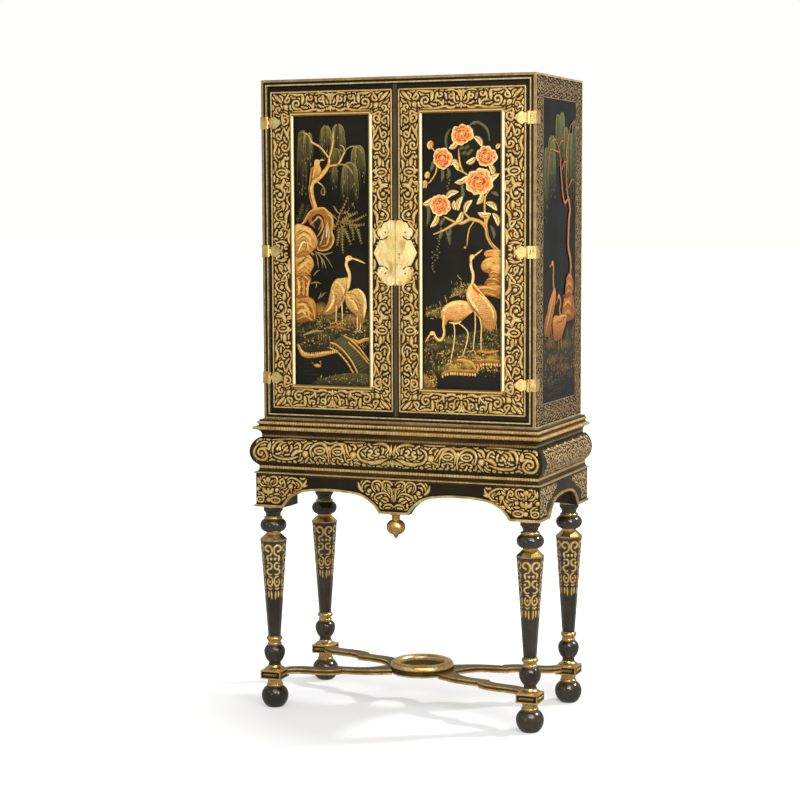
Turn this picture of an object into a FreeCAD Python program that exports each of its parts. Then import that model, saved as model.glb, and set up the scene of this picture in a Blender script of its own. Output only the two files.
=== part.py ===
"""Cabinet on stand: a two-door japanned cupboard on a moulded stand with arched aprons,
four turned legs with tapered octagonal shafts, a serpentine cross stretcher and ball feet.

Frame: +Z up, millimetres, origin on the floor under the middle of the outline, front towards -Y.
Stand mouldings are given as (projection, height): projection is counted outwards from the
cabinet's front and side planes, so a negative one lies inside them.
"""
import FreeCAD, Part
import math
import os

V = FreeCAD.Vector

# ---- Cabinet ----
cabinet_width = 747.0
cabinet_depth = 392.0
cabinet_height = 880.0
case_board = 18.0
back_board = 10.0
shelf_board = 14.0
lower_shelf_rise = 270.0         # inside bottom to the lower shelf's underside
upper_shelf_rise = 556.0
shelf_setback = 50.0             # front plane to the shelf's front edge
shelf_gap = 0.5                  # at each end and at the back
shelf_pin_radius = 3.0
shelf_pin_bury = 9.0             # length inside the case side
shelf_pin_reach = 9.0            # length under the shelf
shelf_pin_inset = 45.0           # from the shelf's front and back edges

# ---- Doors ----
door_board = 20.0
door_setback = 1.0
meeting_gap = 2.0
hinge_side_gap = 1.2
door_end_gap = 1.5
stile_width = 72.5
rail_width = 75.0
panel_board = 8.0
panel_recess = 5.0
panel_bury = 7.0                 # depth of the panel's groove in the frame
panel_gap = 0.25                 # round the panel's edges inside the groove
bead_width = 11.0                # planted bead round the panel
bead_height = 5.0

# ---- Hinges ----
hinge_height = 31.0
hinge_inset = 110.0              # cabinet's end to the outer hinges' middle
hinge_plate = 1.8
hinge_standoff = 4.9             # front plane to the pin's axis
knuckle_radius = 4.5
door_knuckle_height = 10.2
knuckle_end_gap = 0.3
hinge_pin_radius = 2.0
hinge_pin_gap = 0.05
leaf_start = 6.0                 # pin's axis to each leaf's straight edge
web_width = 7.0
web_depth = 2.6
door_leaf_reach = 39.0
leaf_neck_half = 12.0
leaf_lobe_radius = 7.5
leaf_lobe_offset = 8.0
leaf_lobe_place = 19.0
leaf_shoulder_place = 31.0
leaf_shoulder_half = 7.5
leaf_screw_radius = 2.3
leaf_screw_height = 0.8
leaf_screw_place = 17.0
case_leaf_wrap = 28.0            # length round the corner

# ---- Lock, its plates and the left door's bolts ----
lock_height = 437.0              # above the cabinet's underside
lock_plate = 1.8
lock_plate_half = 59.2
lock_plate_inner_gap = 0.6
lock_plate_rise = 84.0
lock_waist_half = 42.0
lock_waist_rise = 34.0
lock_cloud_radius = 12.0
lock_cloud_centres = [(37.0, 52.0), (24.0, 65.5), (12.0, 71.5)]
lock_slot_route = [(43.0, 34.0), (33.5, 33.5), (27.0, 36.5), (21.5, 41.0)]
lock_slot_half = 1.7
lock_eye_place = (27.0, 52.0)
lock_eye_radius = 2.2
keyhole_place = (11.0, -4.0)
keyhole_radius = 3.2
keyhole_slot_half = 1.5
keyhole_slot_drop = 10.0
lock_case_start = 6.0            # from the middle plane
lock_case_width = 60.0
lock_case_height = 80.0
lock_case_depth = 14.0
lock_bolt_height = 16.0
lock_bolt_depth = 6.0
lock_bolt_length = 38.0
lock_bolt_start = 8.0
lock_bolt_travel = 16.0
bolt_gap = 0.3
keeper_start = 4.0
keeper_width = 20.0
keeper_height = 32.0
keeper_pocket = 16.0
flush_bolt_place = 44.0          # middle plane to the bolt's axis
flush_bolt_width = 10.0
flush_bolt_depth = 5.0
flush_bolt_length = 120.0
flush_bolt_travel = 14.0
flush_bolt_rest_gap = 2.0        # bolt's tip to the door's end
flush_bolt_knob_radius = 5.0
flush_bolt_knob_height = 7.0
staple_wall = 2.5
staple_height = 12.0
staple_insets = (18.0, 84.0)     # door's end to each staple's middle
mortise_gap = 0.5
mortise_spare = 2.0

# ---- Stand frame ----
surbase_height = 48.0
frieze_height = 72.0
lower_moulding_height = 26.0
apron_height = 84.0
frame_inner = -4.5
apron_projection = 17.5
frieze_projection = 30.0
frieze_edge_projection = 12.0
surbase_neck_projection = 5.0
surbase_neck_height = 8.0
surbase_bead_projection = 25.0
surbase_bead_lip = 4.0
surbase_bead_middle = 26.0
surbase_bead_half = 4.0
surbase_ovolo_projection = 14.5
surbase_ovolo_edge = 10.0
surbase_ovolo_start = 35.5
surbase_ovolo_end = 44.5
surbase_hollow_sink = 2.0        # depth of the hollow between bead and ovolo
arris_projection = 22.0
arris_foot = 3.5                 # apron's top to the slope below the arris
arris_start = 6.0
arris_end = 8.0
fillet_projection = 11.0
fillet_start = 16.0
stand_back_overhang = 4.0
stand_back_board = 18.0
top_board = 20.0

# ---- Aprons ----
drop_half = 41.0
corner_foot = 79.0               # apron's corner to the arch, front and sides
back_corner_foot = 91.0          # stand's back to the side arch
arch_end_radius = 88.0
arch_foot_angle = 62.0
arch_shoulder_angle = 8.0
arch_runout = 25.0
edge_bead_width = 6.0
edge_bead_height = 4.0
corner_block = 60.0
drop_block_half = 20.0
drop_block = 12.0

# ---- Legs ----
leg_height = 440.0               # stretcher's pad to the aprons' underside
leg_inset_side = 34.0            # apron's face to the leg's axis
leg_inset_front = 31.5
leg_inset_back = 54.0            # stand's back to the leg's axis
plinth_radius = 26.0
plinth_height = 4.0
plinth_cove_height = 16.0
ankle_radius = 16.0
vase_radius = 27.9
vase_widest = 29.0
vase_height = 47.0
vase_top_radius = 17.0
thin_ring_radius = 18.8
thin_ring_height = 6.0
throat_height = 5.0
shaft_ring_radius = 21.4
shaft_ring_height = 12.0
shaft_bottom_radius = 16.5       # to the octagon's corners
shaft_top_radius = 34.5
cap_lip_radius = 35.4
cap_lip_height = 5.0
cap_height = 14.0
cap_top_radius = 20.5
cap_neck_radius = 18.9
cap_neck_height = 5.0
ball_radius = 34.8
ball_bottom_radius = 19.5
ball_top_radius = 22.0
ball_widest = 18.0
ball_height = 35.0
ball_ring_radius = 24.5
ball_ring_height = 6.0
top_neck_radius = 19.7
top_flare_height = 16.0
top_collar_radius = 25.5
top_collar_height = 13.0
leg_dowel_radius = 8.0
leg_dowel_length = 50.0

# ---- Feet and finial ----
foot_height = 77.0
foot_radius = 35.6
foot_widest = 30.4
foot_bottom_radius = 20.8
foot_top_radius = 20.0
foot_ball_height = 56.0
foot_ring_radius = 22.0
foot_ring_height = 6.0
foot_neck_radius = 19.2
foot_flange_radius = 24.0
foot_dowel_radius = 9.0
foot_dowel_length = 48.0
dowel_gap = 0.1
dowel_hole_spare = 1.0
finial_height = 65.0
finial_setback = 14.5            # apron's face to the finial's axis
finial_collar_radius = 15.5
finial_collar_height = 3.0
finial_neck_radius = 10.5
finial_neck_height = 16.0
finial_radius = 24.5
finial_widest = 35.0
finial_tip_radius = 2.0
finial_tip_shoulder_radius = 8.0
finial_tip_shoulder = 54.0
finial_dowel_radius = 4.0
finial_dowel_length = 25.0

# ---- Stretcher ----
pad_half = 28.5
pad_height = 23.0
arm_height = 15.0
arm_drop = 1.0                   # pad's top to the arm's top
arm_bead = 4.0
arm_groove = 2.2
outer_leaf = [(0.947, 0.886), (0.855, 0.735), (0.734, 0.693), (0.575, 0.545)]
inner_leaf = [(0.605, 0.506), (0.476, 0.476), (0.355, 0.400), (0.265, 0.270), (0.190, 0.130)]
outer_leaf_half = (13.0, 16.0)
inner_leaf_half = (12.0, 32.0)
outer_leaf_flare = 1.0           # power of the widening along the leaf
inner_leaf_flare = 3.0
leaf_samples = 9
ring_inner_radius = 57.5
ring_outer_radius = 84.5
ring_lift = 4.0                  # arm's underside to the ring's
ring_side = 18.0
ring_crown = 13.0

# ---- Worked out from the sizes above ----
half_width = cabinet_width / 2
front = frieze_projection - (frieze_projection + cabinet_depth + stand_back_overhang) / 2
back = front + cabinet_depth
stand_back = back + stand_back_overhang
pad_bottom = foot_height
pad_top = pad_bottom + pad_height
apron_bottom = pad_top + leg_height
apron_top = apron_bottom + apron_height
frieze_bottom = apron_top + lower_moulding_height
surbase_bottom = frieze_bottom + frieze_height
case_bottom = surbase_bottom + surbase_height
case_top = case_bottom + cabinet_height
inside_half = half_width - case_board
inside_bottom = case_bottom + case_board
inside_top = case_top - case_board
door_front = front + door_setback
door_back = door_front + door_board
door_inner = meeting_gap / 2
door_outer = inside_half - hinge_side_gap
door_bottom = inside_bottom + door_end_gap
door_top = inside_top - door_end_gap
panel_inner = door_inner + stile_width
panel_outer = door_outer - stile_width
panel_bottom = door_bottom + rail_width
panel_top = door_top - rail_width
hinge_x = inside_half
hinge_y = front - hinge_standoff
hinge_levels = [case_bottom + hinge_inset, (case_bottom + case_top) / 2, case_top - hinge_inset]
lock_level = case_bottom + lock_height
frame_inner_half = half_width + frame_inner
frame_inner_front = front - frame_inner
apron_half = half_width + apron_projection
apron_front = front - apron_projection
leg_x = apron_half - leg_inset_side
leg_front_y = apron_front + leg_inset_front
leg_back_y = stand_back - leg_inset_back
leg_places = {"front_left": (-1, -1), "front_right": (1, -1), "back_left": (-1, 1), "back_right": (1, 1)}
ring_y = (leg_front_y + leg_back_y) / 2
arm_top = pad_top - arm_drop
arm_bottom = arm_top - arm_height
mitre_reach = frieze_projection + case_board


def box(x0, x1, y0, y1, z0, z1):
    return Part.makeBox(x1 - x0, y1 - y0, z1 - z0, V(x0, y0, z0))


def rod(radius, base, direction, length):
    return Part.makeCylinder(radius, length, base, direction)


def outline_face(start, steps, at):
    """Face inside an outline. A step is an end point, or (through, end) for an arc; at places a point."""
    edges = []
    here = start
    for step in steps:
        if isinstance(step[0], tuple):
            through, end = step
            edges.append(Part.Arc(at(*here), at(*through), at(*end)).toShape())
        else:
            end = step
            edges.append(Part.LineSegment(at(*here), at(*end)).toShape())
        here = end
    edges.append(Part.LineSegment(at(*here), at(*start)).toShape())
    return Part.Face(Part.Wire(edges))


def plan_prism(points, z0, z1):
    corners = [V(x, y, z0) for x, y in points + points[:1]]
    return Part.Face(Part.makePolygon(corners)).extrude(V(0, 0, z1 - z0))


def turned(start, steps, x, y):
    """Solid of revolution about the upright axis through (x, y), from an outline of (radius, height)."""
    solid = outline_face(start, steps, lambda radius, z: V(radius, 0, z)).revolve(V(0, 0, 0), V(0, 0, 1), 360)
    solid.translate(V(x, y, 0))
    return solid


def arc_middle(widest, end):
    """Middle of the arc that leaves the widest point parallel to the axis and reaches end."""
    fall = widest[0] - end[0]
    rise = end[1] - widest[1]
    radius = (fall * fall + rise * rise) / (2 * fall)
    half_angle = math.atan2(abs(rise), radius - fall) / 2
    return (widest[0] - radius * (1 - math.cos(half_angle)),
            widest[1] + math.copysign(radius * math.sin(half_angle), rise))


def belly(low, widest, high):
    """Steps of a turned swelling from low through widest to high, as two tangent arcs."""
    return [(arc_middle(widest, low), widest), (arc_middle(widest, high), high)]


def cove(start, end):
    """Step of a hollow quarter that leaves start upright and meets end level."""
    bend = math.sqrt(0.5)
    return ((start[0] + (end[0] - start[0]) * (1 - bend), start[1] + (end[1] - start[1]) * bend), end)


def ring_step(edge_radius, crest_radius, z0, z1):
    """Step of a rounded ring from (edge_radius, z0) to (edge_radius, z1)."""
    return ((crest_radius, (z0 + z1) / 2), (edge_radius, z1))


def save(name, *solids):
    shape = solids[0] if len(solids) == 1 else Part.makeCompound(list(solids))
    shape.exportStep("parts/" + name + ".step")


def mirrored(shape):
    return shape.mirror(V(0, 0, 0), V(1, 0, 0))


# ---- Cabinet carcase ----
def shelf_bottoms():
    return [inside_bottom + lower_shelf_rise, inside_bottom + upper_shelf_rise]


def shelf_pin_levels():
    return [bottom - shelf_pin_radius for bottom in shelf_bottoms()]


def shelf_back():
    return back - back_board - shelf_gap


def shelf_pin_rows():
    return [front + shelf_setback + shelf_pin_inset, shelf_back() - shelf_pin_inset]


def pin_positions(start, length, radius):
    """Rods along +X from start, one for each shelf pin of the right side."""
    return [rod(radius, V(start, y, z), V(1, 0, 0), length)
            for z in shelf_pin_levels() for y in shelf_pin_rows()]


def carcase():
    side = box(inside_half, half_width, front, back, case_bottom, case_top)
    for hole in pin_positions(inside_half, shelf_pin_bury, shelf_pin_radius):
        side = side.cut(hole)
    save("carcase_right_side", side)
    save("carcase_left_side", mirrored(side))
    top = box(-inside_half, inside_half, front, back, inside_top, case_top)
    bottom = box(-inside_half, inside_half, front, back, case_bottom, inside_bottom)
    depth = flush_bolt_travel - flush_bolt_rest_gap - door_end_gap + mortise_spare
    save("carcase_top", top.cut(bolt_mortise(inside_top, inside_top + depth)))
    save("carcase_bottom", bottom.cut(bolt_mortise(inside_bottom - depth, inside_bottom)))
    save("carcase_back", box(-inside_half, inside_half, back - back_board, back, inside_bottom, inside_top))


def shelves():
    half = inside_half - shelf_gap
    for name, bottom in zip(["shelf_lower", "shelf_upper"], shelf_bottoms()):
        save(name, box(-half, half, front + shelf_setback, shelf_back(), bottom, bottom + shelf_board))
    right = pin_positions(inside_half - shelf_pin_reach, shelf_pin_reach + shelf_pin_bury, shelf_pin_radius)
    save("shelf_pins", *(right + [mirrored(pin) for pin in right]))


# ---- Doors ----
def groove(x0, x1, z0, z1):
    """Room for the panel's edges, as deep as its groove on every side of the opening."""
    return box(x0 - panel_bury, x1 + panel_bury, door_front + panel_recess,
               door_front + panel_recess + panel_board, z0 - panel_bury, z1 + panel_bury)


def bead_strip(corner, along, across, length):
    """Half-round bead on the door's front, mitred at both ends, from an outer corner of its frame."""
    outwards = V(0, -1, 0)

    def at(width, height):
        return corner + across * width + outwards * height

    section = outline_face((0.0, 0.0), [((bead_width / 2, bead_height), (bead_width, 0.0))], at)
    mitre = Part.makePolygon([corner, corner + along * length,
                              corner + along * (length - bead_width) + across * bead_width,
                              corner + along * bead_width + across * bead_width, corner])
    return section.extrude(along * length).common(Part.Face(mitre).extrude(outwards * (2 * bead_height)))


def panel_bead():
    x0, x1 = panel_inner - bead_width, panel_outer + bead_width
    z0, z1 = panel_bottom - bead_width, panel_top + bead_width
    right, up = V(1, 0, 0), V(0, 0, 1)
    return [bead_strip(V(x0, door_front, z0), right, up, x1 - x0),
            bead_strip(V(x0, door_front, z1), right, -up, x1 - x0),
            bead_strip(V(x0, door_front, z0), up, right, z1 - z0),
            bead_strip(V(x1, door_front, z0), up, -right, z1 - z0)]


def right_door_frame():
    """Joinery of the right door, by name; the left door is its mirror image."""
    room = groove(panel_inner, panel_outer, panel_bottom, panel_top)
    edge = panel_bury - panel_gap
    panel = box(panel_inner - edge, panel_outer + edge, door_front + panel_recess,
                door_front + panel_recess + panel_board, panel_bottom - edge, panel_top + edge)
    meeting = box(door_inner, panel_inner, door_front, door_back, door_bottom, door_top)
    hinged = box(panel_outer, door_outer, door_front, door_back, door_bottom, door_top)
    bottom = box(panel_inner, panel_outer, door_front, door_back, door_bottom, panel_bottom)
    top = box(panel_inner, panel_outer, door_front, door_back, panel_top, door_top)
    return {"meeting_stile": [meeting.cut(room)], "hinge_stile": [hinged.cut(room)],
            "bottom_rail": [bottom.cut(room)], "top_rail": [top.cut(room)],
            "panel": [panel], "panel_bead": panel_bead()}


def doors():
    for name, solids in right_door_frame().items():
        save("left_door_" + name, *[mirrored(solid) for solid in solids])
        if name == "meeting_stile":
            solids = [solids[0].cut(keyhole(door_front, door_back))]
        save("right_door_" + name, *solids)


# ---- Hinges ----
def leaf_outline(level):
    """Door leaf of the right door's hinge: a neck, two lobes and a pointed end."""
    def at(reach, rise):
        return V(hinge_x - reach, door_front - hinge_plate, level + rise)

    shoulder = leaf_lobe_place + leaf_lobe_radius
    body = outline_face((leaf_start, leaf_neck_half),
                        [(shoulder, leaf_neck_half), (leaf_shoulder_place, leaf_shoulder_half),
                         (door_leaf_reach, 0.0), (leaf_shoulder_place, -leaf_shoulder_half),
                         (shoulder, -leaf_neck_half), (leaf_start, -leaf_neck_half)], at)
    leaf = body.extrude(V(0, hinge_plate, 0))
    for rise in (-leaf_lobe_offset, leaf_lobe_offset):
        leaf = leaf.fuse(rod(leaf_lobe_radius, at(leaf_lobe_place, rise), V(0, 1, 0), hinge_plate))
    screw = rod(leaf_screw_radius, at(leaf_screw_place, 0.0), V(0, -1, 0), leaf_screw_height)
    return leaf.fuse(screw).removeSplitter()


def hinge_web(x0, x1, face_y, level, low, high):
    return box(x0, x1, front - web_depth, face_y, level + low, level + high)


def door_leaf(level):
    half = door_knuckle_height / 2
    knuckle = rod(knuckle_radius, V(hinge_x, hinge_y, level - half), V(0, 0, 1), door_knuckle_height)
    web = hinge_web(hinge_x - web_width, hinge_x, door_front, level, -half, half)
    bore = rod(hinge_pin_radius + hinge_pin_gap, V(hinge_x, hinge_y, level - half), V(0, 0, 1),
               door_knuckle_height)
    return leaf_outline(level).fuse(web).fuse(knuckle).cut(bore).removeSplitter()


def case_leaf(level):
    """Case leaf with its two knuckles and the pin that is driven through them."""
    half = hinge_height / 2
    inner = door_knuckle_height / 2 + knuckle_end_gap
    face = box(hinge_x + leaf_start, half_width + hinge_plate, front - hinge_plate, front,
               level - half, level + half)
    wrap = box(half_width, half_width + hinge_plate, front - hinge_plate, front + case_leaf_wrap,
               level - half, level + half)
    leaf = face.fuse(wrap)
    for low, high in ((-half, -inner), (inner, half)):
        leaf = leaf.fuse(rod(knuckle_radius, V(hinge_x, hinge_y, level + low), V(0, 0, 1), high - low))
        leaf = leaf.fuse(hinge_web(hinge_x, hinge_x + web_width, front, level, low, high))
    pin = rod(hinge_pin_radius, V(hinge_x, hinge_y, level - half), V(0, 0, 1), hinge_height)
    return leaf.fuse(pin).removeSplitter()


def hinges():
    door_leaves = [door_leaf(level) for level in hinge_levels]
    case_leaves = [case_leaf(level) for level in hinge_levels]
    save("right_door_hinge_leaves", *door_leaves)
    save("left_door_hinge_leaves", *[mirrored(leaf) for leaf in door_leaves])
    save("hinge_case_leaves", *(case_leaves + [mirrored(leaf) for leaf in case_leaves]))


# ---- Lock plates, lock and bolts ----
def thick_route(points, half, y0, depth, level):
    """Groove of round ends and constant width along points on a face towards -Y."""
    shape = None
    for (x0, z0), (x1, z1) in zip(points, points[1:]):
        length = math.hypot(x1 - x0, z1 - z0)
        nx, nz = -(z1 - z0) / length * half, (x1 - x0) / length * half
        corners = [V(x0 + nx, y0, level + z0 + nz), V(x1 + nx, y0, level + z1 + nz),
                   V(x1 - nx, y0, level + z1 - nz), V(x0 - nx, y0, level + z0 - nz)]
        run = Part.Face(Part.makePolygon(corners + corners[:1])).extrude(V(0, depth, 0))
        run = run.fuse(rod(half, V(x1, y0, level + z1), V(0, 1, 0), depth))
        shape = run if shape is None else shape.fuse(run)
    return shape


def keyhole(y0, y1):
    x, rise = keyhole_place
    level = lock_level + rise
    slot = box(x - keyhole_slot_half, x + keyhole_slot_half, y0, y1, level - keyhole_slot_drop, level)
    return rod(keyhole_radius, V(x, y0, level), V(0, 1, 0), y1 - y0).fuse(slot)


def right_lock_plate():
    """Half plate: a pointed waist lobe between two scalloped cloud heads, pierced by slots and eyes."""
    y0 = door_front - lock_plate

    def at(x, z):
        return V(x, y0, lock_level + z)

    half_edge = [(lock_plate_inner_gap, lock_plate_rise), (lock_cloud_centres[2][0], lock_cloud_centres[2][1]),
                 lock_cloud_centres[0], (lock_waist_half, lock_waist_rise)]
    lower_edge = [(x, -z) for x, z in reversed(half_edge)]
    points = half_edge[1:] + [(lock_plate_half, 0.0)] + lower_edge
    plate = outline_face(half_edge[0], points, at).extrude(V(0, lock_plate, 0))
    for x, z in lock_cloud_centres:
        for rise in (z, -z):
            plate = plate.fuse(rod(lock_cloud_radius, at(x, rise), V(0, 1, 0), lock_plate))
    for sign in (1, -1):
        route = [(x, sign * z) for x, z in lock_slot_route]
        plate = plate.cut(thick_route(route, lock_slot_half, y0, lock_plate, lock_level))
        plate = plate.cut(rod(lock_eye_radius, at(lock_eye_place[0], sign * lock_eye_place[1]),
                              V(0, 1, 0), lock_plate))
    kept = box(lock_plate_inner_gap, 2 * lock_plate_half, y0, door_front,
               lock_level - lock_plate_rise, lock_level + lock_plate_rise)
    return plate.common(kept).removeSplitter()


def lock():
    plate = right_lock_plate()
    save("left_lock_plate", mirrored(plate))
    save("right_lock_plate", plate.cut(keyhole(door_front - lock_plate, door_front)))
    bolt_y = door_back + (lock_case_depth - lock_bolt_depth) / 2
    bolt = box(lock_bolt_start, lock_bolt_start + lock_bolt_length, bolt_y, bolt_y + lock_bolt_depth,
               lock_level - lock_bolt_height / 2, lock_level + lock_bolt_height / 2)
    channel = box(lock_case_start, lock_bolt_start + lock_bolt_length + bolt_gap, bolt_y - bolt_gap,
                  bolt_y + lock_bolt_depth + bolt_gap, lock_level - lock_bolt_height / 2 - bolt_gap,
                  lock_level + lock_bolt_height / 2 + bolt_gap)
    case = box(lock_case_start, lock_case_start + lock_case_width, door_back, door_back + lock_case_depth,
               lock_level - lock_case_height / 2, lock_level + lock_case_height / 2)
    save("lock_case", case.cut(channel).cut(keyhole(door_back, bolt_y)))
    save("lock_bolt", bolt)


def keeper():
    """Keeper on the left door that the lock's bolt enters."""
    bolt_y = door_back + (lock_case_depth - lock_bolt_depth) / 2
    body = box(-keeper_start - keeper_width, -keeper_start, door_back, door_back + lock_case_depth,
               lock_level - keeper_height / 2, lock_level + keeper_height / 2)
    pocket = box(-keeper_start - keeper_pocket, -keeper_start, bolt_y - mortise_gap,
                 bolt_y + lock_bolt_depth + mortise_gap, lock_level - lock_bolt_height / 2 - mortise_gap,
                 lock_level + lock_bolt_height / 2 + mortise_gap)
    return body.cut(pocket)


def bolt_prism(grow, z0, z1):
    """Section of a flush bolt, grown by a gap, between two heights."""
    half = flush_bolt_width / 2 + grow
    return box(-flush_bolt_place - half, -flush_bolt_place + half, door_back + bolt_gap - grow,
               door_back + bolt_gap + flush_bolt_depth + grow, z0, z1)


def bolt_mortise(z0, z1):
    return bolt_prism(mortise_gap, z0, z1)


def staple(level):
    """Guide that wraps a flush bolt on the left door's back."""
    half = flush_bolt_width / 2 + bolt_gap + staple_wall
    body = box(-flush_bolt_place - half, -flush_bolt_place + half, door_back,
               door_back + flush_bolt_depth + 2 * bolt_gap + staple_wall,
               level - staple_height / 2, level + staple_height / 2)
    return body.cut(bolt_prism(bolt_gap, level - staple_height / 2, level + staple_height / 2))


def flush_bolts():
    staples = []
    for name, end, inwards in (("flush_bolt_top", door_top, -1), ("flush_bolt_bottom", door_bottom, 1)):
        tip = end + inwards * flush_bolt_rest_gap
        tail = tip + inwards * flush_bolt_length
        knob_level = (end + inwards * staple_insets[0] + end + inwards * staple_insets[1]) / 2
        bar = bolt_prism(0.0, min(tip, tail), max(tip, tail))
        knob_start = door_back + bolt_gap + flush_bolt_depth
        knob = rod(flush_bolt_knob_radius, V(-flush_bolt_place, knob_start, knob_level), V(0, 1, 0),
                   flush_bolt_knob_height)
        save(name, bar.fuse(knob).removeSplitter())
        staples += [staple(end + inwards * inset) for inset in staple_insets]
    save("left_door_bolt_fittings", keeper(), *staples)


# ---- Stand frame ----
def corner(sign, projection):
    return (sign * (half_width + projection), front - projection)


def front_run(start, steps):
    """Front length of a stand moulding, mitred at both ends."""
    far = half_width + mitre_reach
    section = outline_face(start, steps, lambda projection, z: V(-far, front - projection, z))
    kept = plan_prism([corner(-1, frame_inner), corner(-1, mitre_reach), corner(1, mitre_reach),
                       corner(1, frame_inner)], 0, case_top)
    return section.extrude(V(2 * far, 0, 0)).common(kept)


def side_run(start, steps):
    """Right-hand length of a stand moulding, mitred in front and square behind."""
    y0 = front - mitre_reach
    section = outline_face(start, steps, lambda projection, z: V(half_width + projection, y0, z))
    kept = plan_prism([corner(1, frame_inner), corner(1, mitre_reach),
                       (half_width + mitre_reach, stand_back), (frame_inner_half, stand_back)], 0, case_top)
    return section.extrude(V(0, stand_back - y0, 0)).common(kept)


def save_moulding(name, start, steps):
    side = side_run(start, steps)
    save(name + "_front", front_run(start, steps))
    save(name + "_right", side)
    save(name + "_left", mirrored(side))


def surbase():
    base = surbase_bottom
    lip = surbase_bead_projection - surbase_bead_lip
    neck_top = (surbase_neck_projection, base + surbase_neck_height)
    bead_low = (lip, base + surbase_bead_middle - surbase_bead_half)
    bead_high = (lip, base + surbase_bead_middle + surbase_bead_half)
    ovolo_low = (surbase_ovolo_edge, base + surbase_ovolo_start)
    ovolo_high = (surbase_ovolo_edge, base + surbase_ovolo_end)
    ovolo_crest = (surbase_ovolo_projection, base + (surbase_ovolo_start + surbase_ovolo_end) / 2)
    hollow = ((ovolo_low[0] + bead_high[0]) / 2 - surbase_hollow_sink,
              (ovolo_low[1] + bead_high[1]) / 2 - surbase_hollow_sink / 2)
    save_moulding("surbase_moulding", (frame_inner, base),
                  [(surbase_neck_projection, base), neck_top, cove(neck_top, bead_low),
                   (surbase_bead_projection, base + surbase_bead_middle), bead_high, (hollow, ovolo_low),
                   (ovolo_crest, ovolo_high), (surbase_ovolo_edge, case_bottom), (frame_inner, case_bottom)])


def frieze():
    crest = (frieze_projection, frieze_bottom + frieze_height / 2)
    save_moulding("frieze", (frame_inner, frieze_bottom),
                  [(frieze_edge_projection, frieze_bottom), (crest, (frieze_edge_projection, surbase_bottom)),
                   (frame_inner, surbase_bottom)])


def lower_moulding():
    base = apron_top
    fillet_low = (fillet_projection, base + fillet_start)
    arris_high = (arris_projection, base + arris_end)
    save_moulding("lower_moulding", (frame_inner, base),
                  [(apron_projection, base), (apron_projection, base + arris_foot),
                   (arris_projection, base + arris_start), arris_high,
                   (cove(fillet_low, arris_high)[0], fillet_low), (fillet_projection, frieze_bottom),
                   (frame_inner, frieze_bottom)])


def arch(centre, half_span, grow, at, sweep):
    """Space under one flat arch: two tight end arcs and a long shallow one, grown outwards by grow."""
    foot, shoulder = math.radians(arch_foot_angle), math.radians(arch_shoulder_angle)
    end_centre = (arch_end_radius * math.sin(foot) - half_span, -arch_end_radius * math.cos(foot))
    shoulder_reach = arch_end_radius * math.sin(shoulder) - end_centre[0]
    crown_radius = shoulder_reach / math.sin(shoulder)
    crown_centre = (0.0, end_centre[1] + (arch_end_radius - crown_radius) * math.cos(shoulder))

    def on(arc_centre, radius, slope):
        return (centre + arc_centre[0] - (radius + grow) * math.sin(slope),
                apron_bottom + arc_centre[1] + (radius + grow) * math.cos(slope))

    def flip(point):
        return (2 * centre - point[0], point[1])

    low = on(end_centre, arch_end_radius, foot)
    start = (low[0] - arch_runout * math.cos(foot), low[1] - arch_runout * math.sin(foot))
    haunch = on(end_centre, arch_end_radius, (foot + shoulder) / 2)
    high = on(end_centre, arch_end_radius, shoulder)
    crown = on(crown_centre, crown_radius, 0.0)
    return outline_face(start, [low, (haunch, high), (crown, flip(high)), (flip(haunch), flip(low)),
                                flip(start)], at).extrude(sweep)


def front_arches(grow, y0, y1):
    """Both arches of the front or back, cut straight through from y0 to y1."""
    outer = apron_half - corner_foot
    centre, half_span = (outer + drop_half) / 2, (outer - drop_half) / 2
    return [arch(sign * centre, half_span, grow, lambda x, z: V(x, y0, z), V(0, y1 - y0, 0))
            for sign in (-1, 1)]


def side_arch(grow):
    """Arch of the right side apron, cut through it from inside."""
    y0, y1 = apron_front + corner_foot, stand_back - back_corner_foot
    x0 = frame_inner_half - edge_bead_height
    sweep = V(apron_projection - frame_inner + 3 * edge_bead_height, 0, 0)
    return arch((y0 + y1) / 2, (y1 - y0) / 2, grow, lambda y, z: V(x0, y, z), sweep)


def rectangle(projection0, projection1, z0, z1):
    return (projection0, z0), [(projection1, z0), (projection1, z1), (projection0, z1)]


def cut_all(shape, tools):
    for tool in tools:
        shape = shape.cut(tool)
    return shape


def edge_bead(run, arches, wide_arches):
    """Raised bead along the lower edge of an apron: a straight strip joined to a band round each arch."""
    face_low, face_high = apron_projection, apron_projection + edge_bead_height
    bead = run(*rectangle(face_low, face_high, apron_bottom, apron_bottom + edge_bead_width))
    blank = run(*rectangle(face_low, face_high, apron_bottom, apron_top))
    for wide in wide_arches:
        bead = bead.fuse(blank.common(wide))
    return cut_all(bead, arches).removeSplitter()


def aprons():
    profile = rectangle(frame_inner, apron_projection, apron_bottom, apron_top)
    through = (apron_front - 2 * edge_bead_height, frame_inner_front + edge_bead_height)
    arches = front_arches(0.0, *through)
    socket = rod(finial_dowel_radius + dowel_gap, V(0, finial_y(), apron_bottom), V(0, 0, 1),
                 finial_dowel_length + dowel_hole_spare)
    save("apron_front", cut_all(front_run(*profile), arches + [socket]))
    side = side_run(*profile).cut(side_arch(0.0))
    save("apron_right", side)
    save("apron_left", mirrored(side))
    front_bead = edge_bead(front_run, arches, front_arches(edge_bead_width, *through))
    side_bead = edge_bead(side_run, [side_arch(0.0)], [side_arch(edge_bead_width)])
    save("apron_edge_beads", front_bead, side_bead, mirrored(side_bead))


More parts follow.
